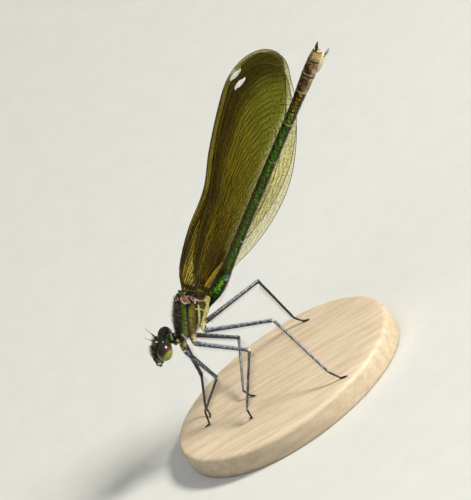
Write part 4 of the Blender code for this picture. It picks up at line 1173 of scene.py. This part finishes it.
def leg_paint(rings, highlight_share, outer):
    """Black, painted lit blue-grey on top with white highlight patches and flecks; a cream spot at each end.
    """
    rows, sides, _ = rings.shape
    offset = rings - rings.mean(1, keepdims=True)
    reach = np.maximum(np.linalg.norm(offset, axis=2), 1e-6)
    up, out = offset[..., 2] / reach, offset[..., 1] * outer / reach
    blotch = mottle(rings, 0.28)
    # Painted light: blue-grey where the top of the leg faces the light, white highlight patches along the
    # very top and flecks on the upper side
    paint = mix(LEG_DARK, LEG_LIT_GREY, ease(-0.15, 0.45, up + 1.1 * (blotch - 0.5)))
    highlight_fleck = 0.9 * ease(0.70, 0.82, mottle(rings, 0.11, 3.0)) * ease(-0.2, 0.3, up)
    paint = mix(paint, LEG_HIGHLIGHT, np.maximum(ease(0.80, 0.97, up) * blotch, highlight_fleck) * highlight_share)
    share = np.linspace(0.0, 1.0, rows)[:, None]
    spot = np.maximum(ease(0.965, 0.985, share), ease(0.045, 0.025, share)) * ease(0.1, 0.5, out)
    return mix(paint, LEG_SPOT, spot)


def make_leg(name, places, material):
    places = [np.array(place) for place in places]
    *_, ankle, toe = places
    toe[2] = STAND_TOP + TOE_HEIGHT
    outer = 1.0 if places[0][1] > 0 else -1.0
    form = Form()
    for start, finish, (count, sides, stations, radii, pale) in zip(places, places[1:], LEG_STRETCHES):
        radii = smooth_values(stations, radii, np.linspace(0.0, 1.0, count))
        rings = rod(start, finish - start, radii, sides)
        # pale is the strength of the painted highlight on femur and tibia; the coxa has none
        if pale:
            form.skin(rings, leg_paint(rings, pale, outer))
        else:
            form.skin(rings, mix(COXA_DARK, COXA_PALE, ease(0.30, 0.55, mottle(rings, 0.45))))
    sole = ankle * 0.45 + toe * 0.55
    sole[2] = STAND_TOP + SOLE_HEIGHT
    corners, steps = np.arange(3.0), np.linspace(0.0, 1.0, 30)
    bends = smooth_values(corners / 2, corners, steps)
    tarsus = np.stack([np.interp(bends, corners, axis) for axis in np.stack((ankle, sole, toe)).T], 1)
    wave = 0.115 + 0.018 * np.abs(np.sin(3 * math.pi * steps))
    form.skin(tube_rings(tarsus, wave * (1.05 - 0.30 * steps), 14), LEG_DARK)
    ahead = unit(toe - sole)
    for turn in (-1.0, 1.0):
        way = ahead + np.cross(ahead, Z_AXIS) * (0.6 * turn) + Z_AXIS * 0.25
        form.hair(toe + ahead * 0.05, way, 0.30, 0.035, LEG_DARK, bend=Z_AXIS * -0.45, sides=5, steps=4)
    make_piece(f"leg_{name}", form, material,
               [f"{name}_{part}" for part in ("coxa", "femur", "tibia", "tarsus")])


def make_leg_bristles(rng, material):
    """Two rows of long bristles under each leg, and a short fuzz all round."""
    form = Form()
    for _, *places in LEGS.values():
        places = [np.array(place) for place in places]
        for start, finish, (spacing, longest, thick) in zip(places, places[1:], BRISTLE_ROWS):
            reach = np.linalg.norm(finish - start)
            way = unit(finish - start)
            side = unit(np.cross(way, Z_AXIS))
            down = np.cross(side, way)
            down = down if down[2] < 0 else -down
            count = int(reach / spacing)
            for row in (-1.0, 1.0):
                out = unit(down * 0.85 + side * row * 0.45)
                for index in range(count):
                    share = 0.05 + 0.90 * (index + 0.5 * (row > 0)) / count
                    size = longest * rng.uniform(0.75, 1.1) * (1.0 - 0.45 * share)
                    root = start + (finish - start) * share + out * thick * BRISTLE_ROOT
                    form.hair(root, out + way * 0.30, size, BRISTLE_RADIUS, BRISTLE_DARK, bend=way * 0.18)
            # Short fuzz all round, painted pale as hairs lit from behind look
            for _ in range(int(reach * FUZZ_PER_MM)):
                share, angle = rng.uniform(0.03, 0.97), rng.uniform(0, math.tau)
                out = side * math.cos(angle) + down * math.sin(angle)
                root = start + (finish - start) * share + out * thick * BRISTLE_ROOT
                form.hair(root, out + way * 0.8, rng.uniform(0.10, 0.20), FUZZ_RADIUS, FUZZ_BACKLIT_PALE)
    make_piece("leg_bristles", form, material)


# Joints of an antenna: from, to, radius there and there
ANTENNA_JOINTS = ((-0.10, 0.22, 0.12, 0.11), (0.20, 0.55, 0.085, 0.08), (0.52, 1.72, 0.045, 0.012))
ANTENNA_BROWN = (0.02, 0.016, 0.012, 0.1)


def make_antennae(material):
    for name, sign in SIDES:
        form = Form()
        root = head_place(0.90, 0.58, sign * 0.55)
        way = unit(head_place(0.88, 0.60, sign * 0.42) - HEAD_MIDDLE)
        for first, last, thick, thin in ANTENNA_JOINTS:
            radii = np.linspace(thick, thin, 12)
            form.skin(rod(root + way * first, way * (last - first), radii, 12), ANTENNA_BROWN)
        make_piece(f"feeler_{name}", form, material, [f"antenna_{name}"])


CERCUS_BROWN = (0.03, 0.022, 0.012, 0.2)
BLADE_CREAM = (0.62, 0.55, 0.36, 0.0)
STYLUS_BROWN = (0.02, 0.014, 0.008, 0.1)
BLADE_START, BLADE_LENGTH, BLADE_BELOW = 32.7, 2.9, 0.66


def make_tail(material):
    """Cerci, egg-laying blade and its two feelers."""
    end, axis = abdomen_place(ABDOMEN_LENGTH)
    up = np.cross(axis, Y_AXIS)
    radii = smooth_values((0, 0.4, 0.8, 1.0), (0.15, 0.17, 0.12, 0.04), np.linspace(0, 1, 16))
    for name, sign in SIDES:
        form = Form()
        root = end + up * 0.22 + Y_AXIS * (sign * 0.28) - axis * 0.35
        form.skin(rod(root, axis * 1.15 + Y_AXIS * sign * 0.12 + up * 0.1, radii, 16), CERCUS_BROWN)
        make_piece(f"cercus_tip_{name}", form, material, [f"cercus_{name}"])
    form = Form()
    share = np.linspace(0.0, 1.0, 40)
    swell = smooth_values((0, 0.15, 0.4, 0.7, 0.9, 1.0), (0.25, 0.75, 1.0, 0.95, 0.65, 0.2), share)
    rings = []
    for s, w in zip(share, swell):
        centre, way = abdomen_place(BLADE_START + BLADE_LENGTH * s)
        rise = np.cross(way, Y_AXIS)
        centre = centre - rise * BLADE_BELOW
        rings.append(ring_points(centre, rise, Y_AXIS, 0.40 * w, 0.45 * w, 0.48 * w, circle(40)))
    form.skin(np.stack(rings), BLADE_CREAM)
    centre, way = abdomen_place(BLADE_START + BLADE_LENGTH)
    rise = np.cross(way, Y_AXIS)
    radii = np.linspace(0.07, 0.035, 12)
    for _, sign in SIDES:
        root = centre - rise * 0.92 - way * 0.35 + Y_AXIS * (sign * 0.18)
        form.skin(rod(root, way * 0.95 - rise * 0.28 + Y_AXIS * sign * 0.12, radii, 10), STYLUS_BROWN)
    make_piece("egg_blade", form, material, ["ovipositor"])


# The base's edge from below upwards: share of the thickness, and how far in, against EDGE_INSET
BASE_PROFILE = ((0.0, 0.35), (0.06, 0.16), (0.14, 0.06), (0.30, 0.0), (0.80, 0.0), (0.88, 0.08), (0.94, 0.28),
                (0.98, 0.6), (1.0, 1.0), (1.0, 4.0))
EDGE_INSET = 0.6
BASE_TAN = (0.6, 0.5, 0.4, 0.0)


def make_base(material):
    angles = circle(120)
    rings = []
    for share, inset in BASE_PROFILE:
        half = BASE_HALF - EDGE_INSET * inset
        z = STAND_TOP - BASE_THICKNESS * (1 - share)
        rings.append(np.stack((BASE_CENTRE_X + half[0] * np.cos(angles), half[1] * np.sin(angles),
                               np.full_like(angles, z)), 1))
    form = Form()
    form.skin(np.stack(rings), BASE_TAN)
    make_piece("oval_base", form, material, ["stand_base"])


# Stage

FLOOR_HALF = 2.0                     # metres
FLOOR_SPECK = 3.33                   # millimetres
FLOOR_GREY = (0.52, 0.52, 0.49, 1)
SKY_LOW, SKY_HIGH, SKY_STRENGTH = (0.10, 0.11, 0.09, 1), (0.75, 0.78, 0.80, 1), 0.45
AIM = (14.0, 0.0, 14.0)              # where the lights point, near the model's middle
# Lights: direction, distance and size in metres, power, colour, and whether glossy surfaces mirror it
SUN_WHITE = (1.0, 0.97, 0.90)
LIGHTS = {
    "key": (CAMERA_RIGHT * 0.285 + CAMERA_UP * 0.75 + CAMERA_BACK * 0.585, 0.9, 0.20, 13.0, SUN_WHITE, True),
    "fill": (CAMERA_BACK * 0.8 - CAMERA_RIGHT * 0.7 + CAMERA_UP * 0.3, 0.9, 0.8, 3.0, WHITE, False),
    "top": ((0.0, 0.2, 1.0), 1.0, 1.0, 1.0, WHITE, False),
}


def make_floor():
    mesh = bpy.data.meshes.new("floor")
    corners = [(x * FLOOR_HALF, y * FLOOR_HALF, 0) for x, y in ((-1, -1), (1, -1), (1, 1), (-1, 1))]
    mesh.from_pydata(corners, [], [(0, 1, 2, 3)])
    floor = bpy.data.objects.new("floor", mesh)
    bpy.context.scene.collection.objects.link(floor)
    graph = Graph("floor")
    speck = graph.vary(graph.noise(FLOOR_SPECK, 2.0), 0.98, 1.02)
    graph.set(Base_Color=graph.times(FLOOR_GREY, speck), Roughness=0.9)
    mesh.materials.append(graph.material)


def make_light(name, direction, distance, size, power, color, glossy):
    data = bpy.data.lights.new(name, "AREA")
    data.shape = "DISK"
    data.size, data.energy, data.color = size, power, color
    light = bpy.data.objects.new(name, data)
    bpy.context.scene.collection.objects.link(light)
    back = unit(direction)
    light.location = world_place(AIM) + back * distance
    light.visible_glossy = glossy
    light.rotation_euler = look_matrix(back).to_euler()


def look_matrix(back, right=None):
    """The turn of a camera or light whose back points that way."""
    back = Vector(unit(back))
    side = Vector(right) if right is not None else Vector(Z_AXIS).cross(back).normalized()
    return Matrix((side, back.cross(side), back)).transposed()


def make_camera():
    data = bpy.data.cameras.new("camera")
    data.lens, data.sensor_width = LENS, SENSOR
    data.clip_start, data.clip_end = 0.5, 30.0
    camera = bpy.data.objects.new("camera", data)
    bpy.context.scene.collection.objects.link(camera)
    distance = LENS / (PIXELS_PER_MM * SENSOR / max(PHOTO_SIZE))
    middle_right = (PHOTO_SIZE[0] / 2 - FEET_PIXEL[0]) / PIXELS_PER_MM
    middle_up = (FEET_PIXEL[1] - PHOTO_SIZE[1] / 2) / PIXELS_PER_MM
    place = CAMERA_RIGHT * middle_right + CAMERA_UP * middle_up + CAMERA_BACK * (TRUE_SCALE_DEPTH + distance)
    camera.location = world_place(place)
    camera.rotation_euler = look_matrix(CAMERA_BACK, CAMERA_RIGHT).to_euler()
    bpy.context.scene.camera = camera


def make_world():
    """A soft sky, darker below."""
    world = bpy.data.worlds.new("studio")
    bpy.context.scene.world = world
    world.use_nodes = True
    tree = world.node_tree
    background = tree.nodes["Background"]
    place = tree.nodes.new("ShaderNodeTexCoord")
    split = tree.nodes.new("ShaderNodeSeparateXYZ")
    ramp = tree.nodes.new("ShaderNodeValToRGB")
    for stop, color in zip(ramp.color_ramp.elements, (SKY_LOW, SKY_HIGH)):
        stop.color = color
    tree.links.new(place.outputs["Generated"], split.inputs[0])
    tree.links.new(split.outputs["Z"], ramp.inputs[0])
    tree.links.new(ramp.outputs[0], background.inputs[0])
    background.inputs[1].default_value = SKY_STRENGTH


def main():
    rng = random.Random(7)
    scene = bpy.context.scene
    scene.view_settings.view_transform = "Standard"
    scene.cycles.transparent_max_bounces = 40
    make_camera()
    make_world()
    make_floor()
    for name, values in LIGHTS.items():
        make_light(name, *values)

    cuticle = painted("cuticle", 0.30, 0.12, bump=0.5, depth=0.03, tone=(0.55, 1.5))
    abdomen_shell = painted("abdomen_shell", 0.22, 0.20, bump=0.9, depth=0.05, tone=(0.45, 1.6), gloss=0.2)
    leg_shell = painted("leg_shell", 0.40, 0.07, bump=0.5, tone=(0.55, 1.55))
    bristle = painted("bristle", 0.5, 0.3, bump=0.0)
    vein = painted("vein", 0.40, 0.25, bump=0.1)
    membrane = membrane_material()

    skin = Form()
    for make in (make_head, make_mouth, make_neck, make_thorax, make_wing_plates):
        make(skin)
    make_piece("body_skin", skin, cuticle, ["head", "labrum", "labium", "prothorax", "thorax"])
    skin = Form()
    make_abdomen(skin)
    make_piece("abdomen_skin", skin, abdomen_shell, [f"abdomen_s{n}" for n in range(1, 11)])
    make_body_hairs(rng, bristle)
    make_eyes(eye_material())
    make_antennae(leg_shell)
    make_tail(cuticle)
    for name, places in LEGS.items():
        make_leg(name, places, leg_shell)
    make_leg_bristles(rng, bristle)
    for side, sign in SIDES:
        for pair, *shape, outer in WINGS:
            make_wing(f"{pair}_{side}", Wing(*shape, sign, outer), rng, membrane, vein)
    make_base(wood_material())


main()
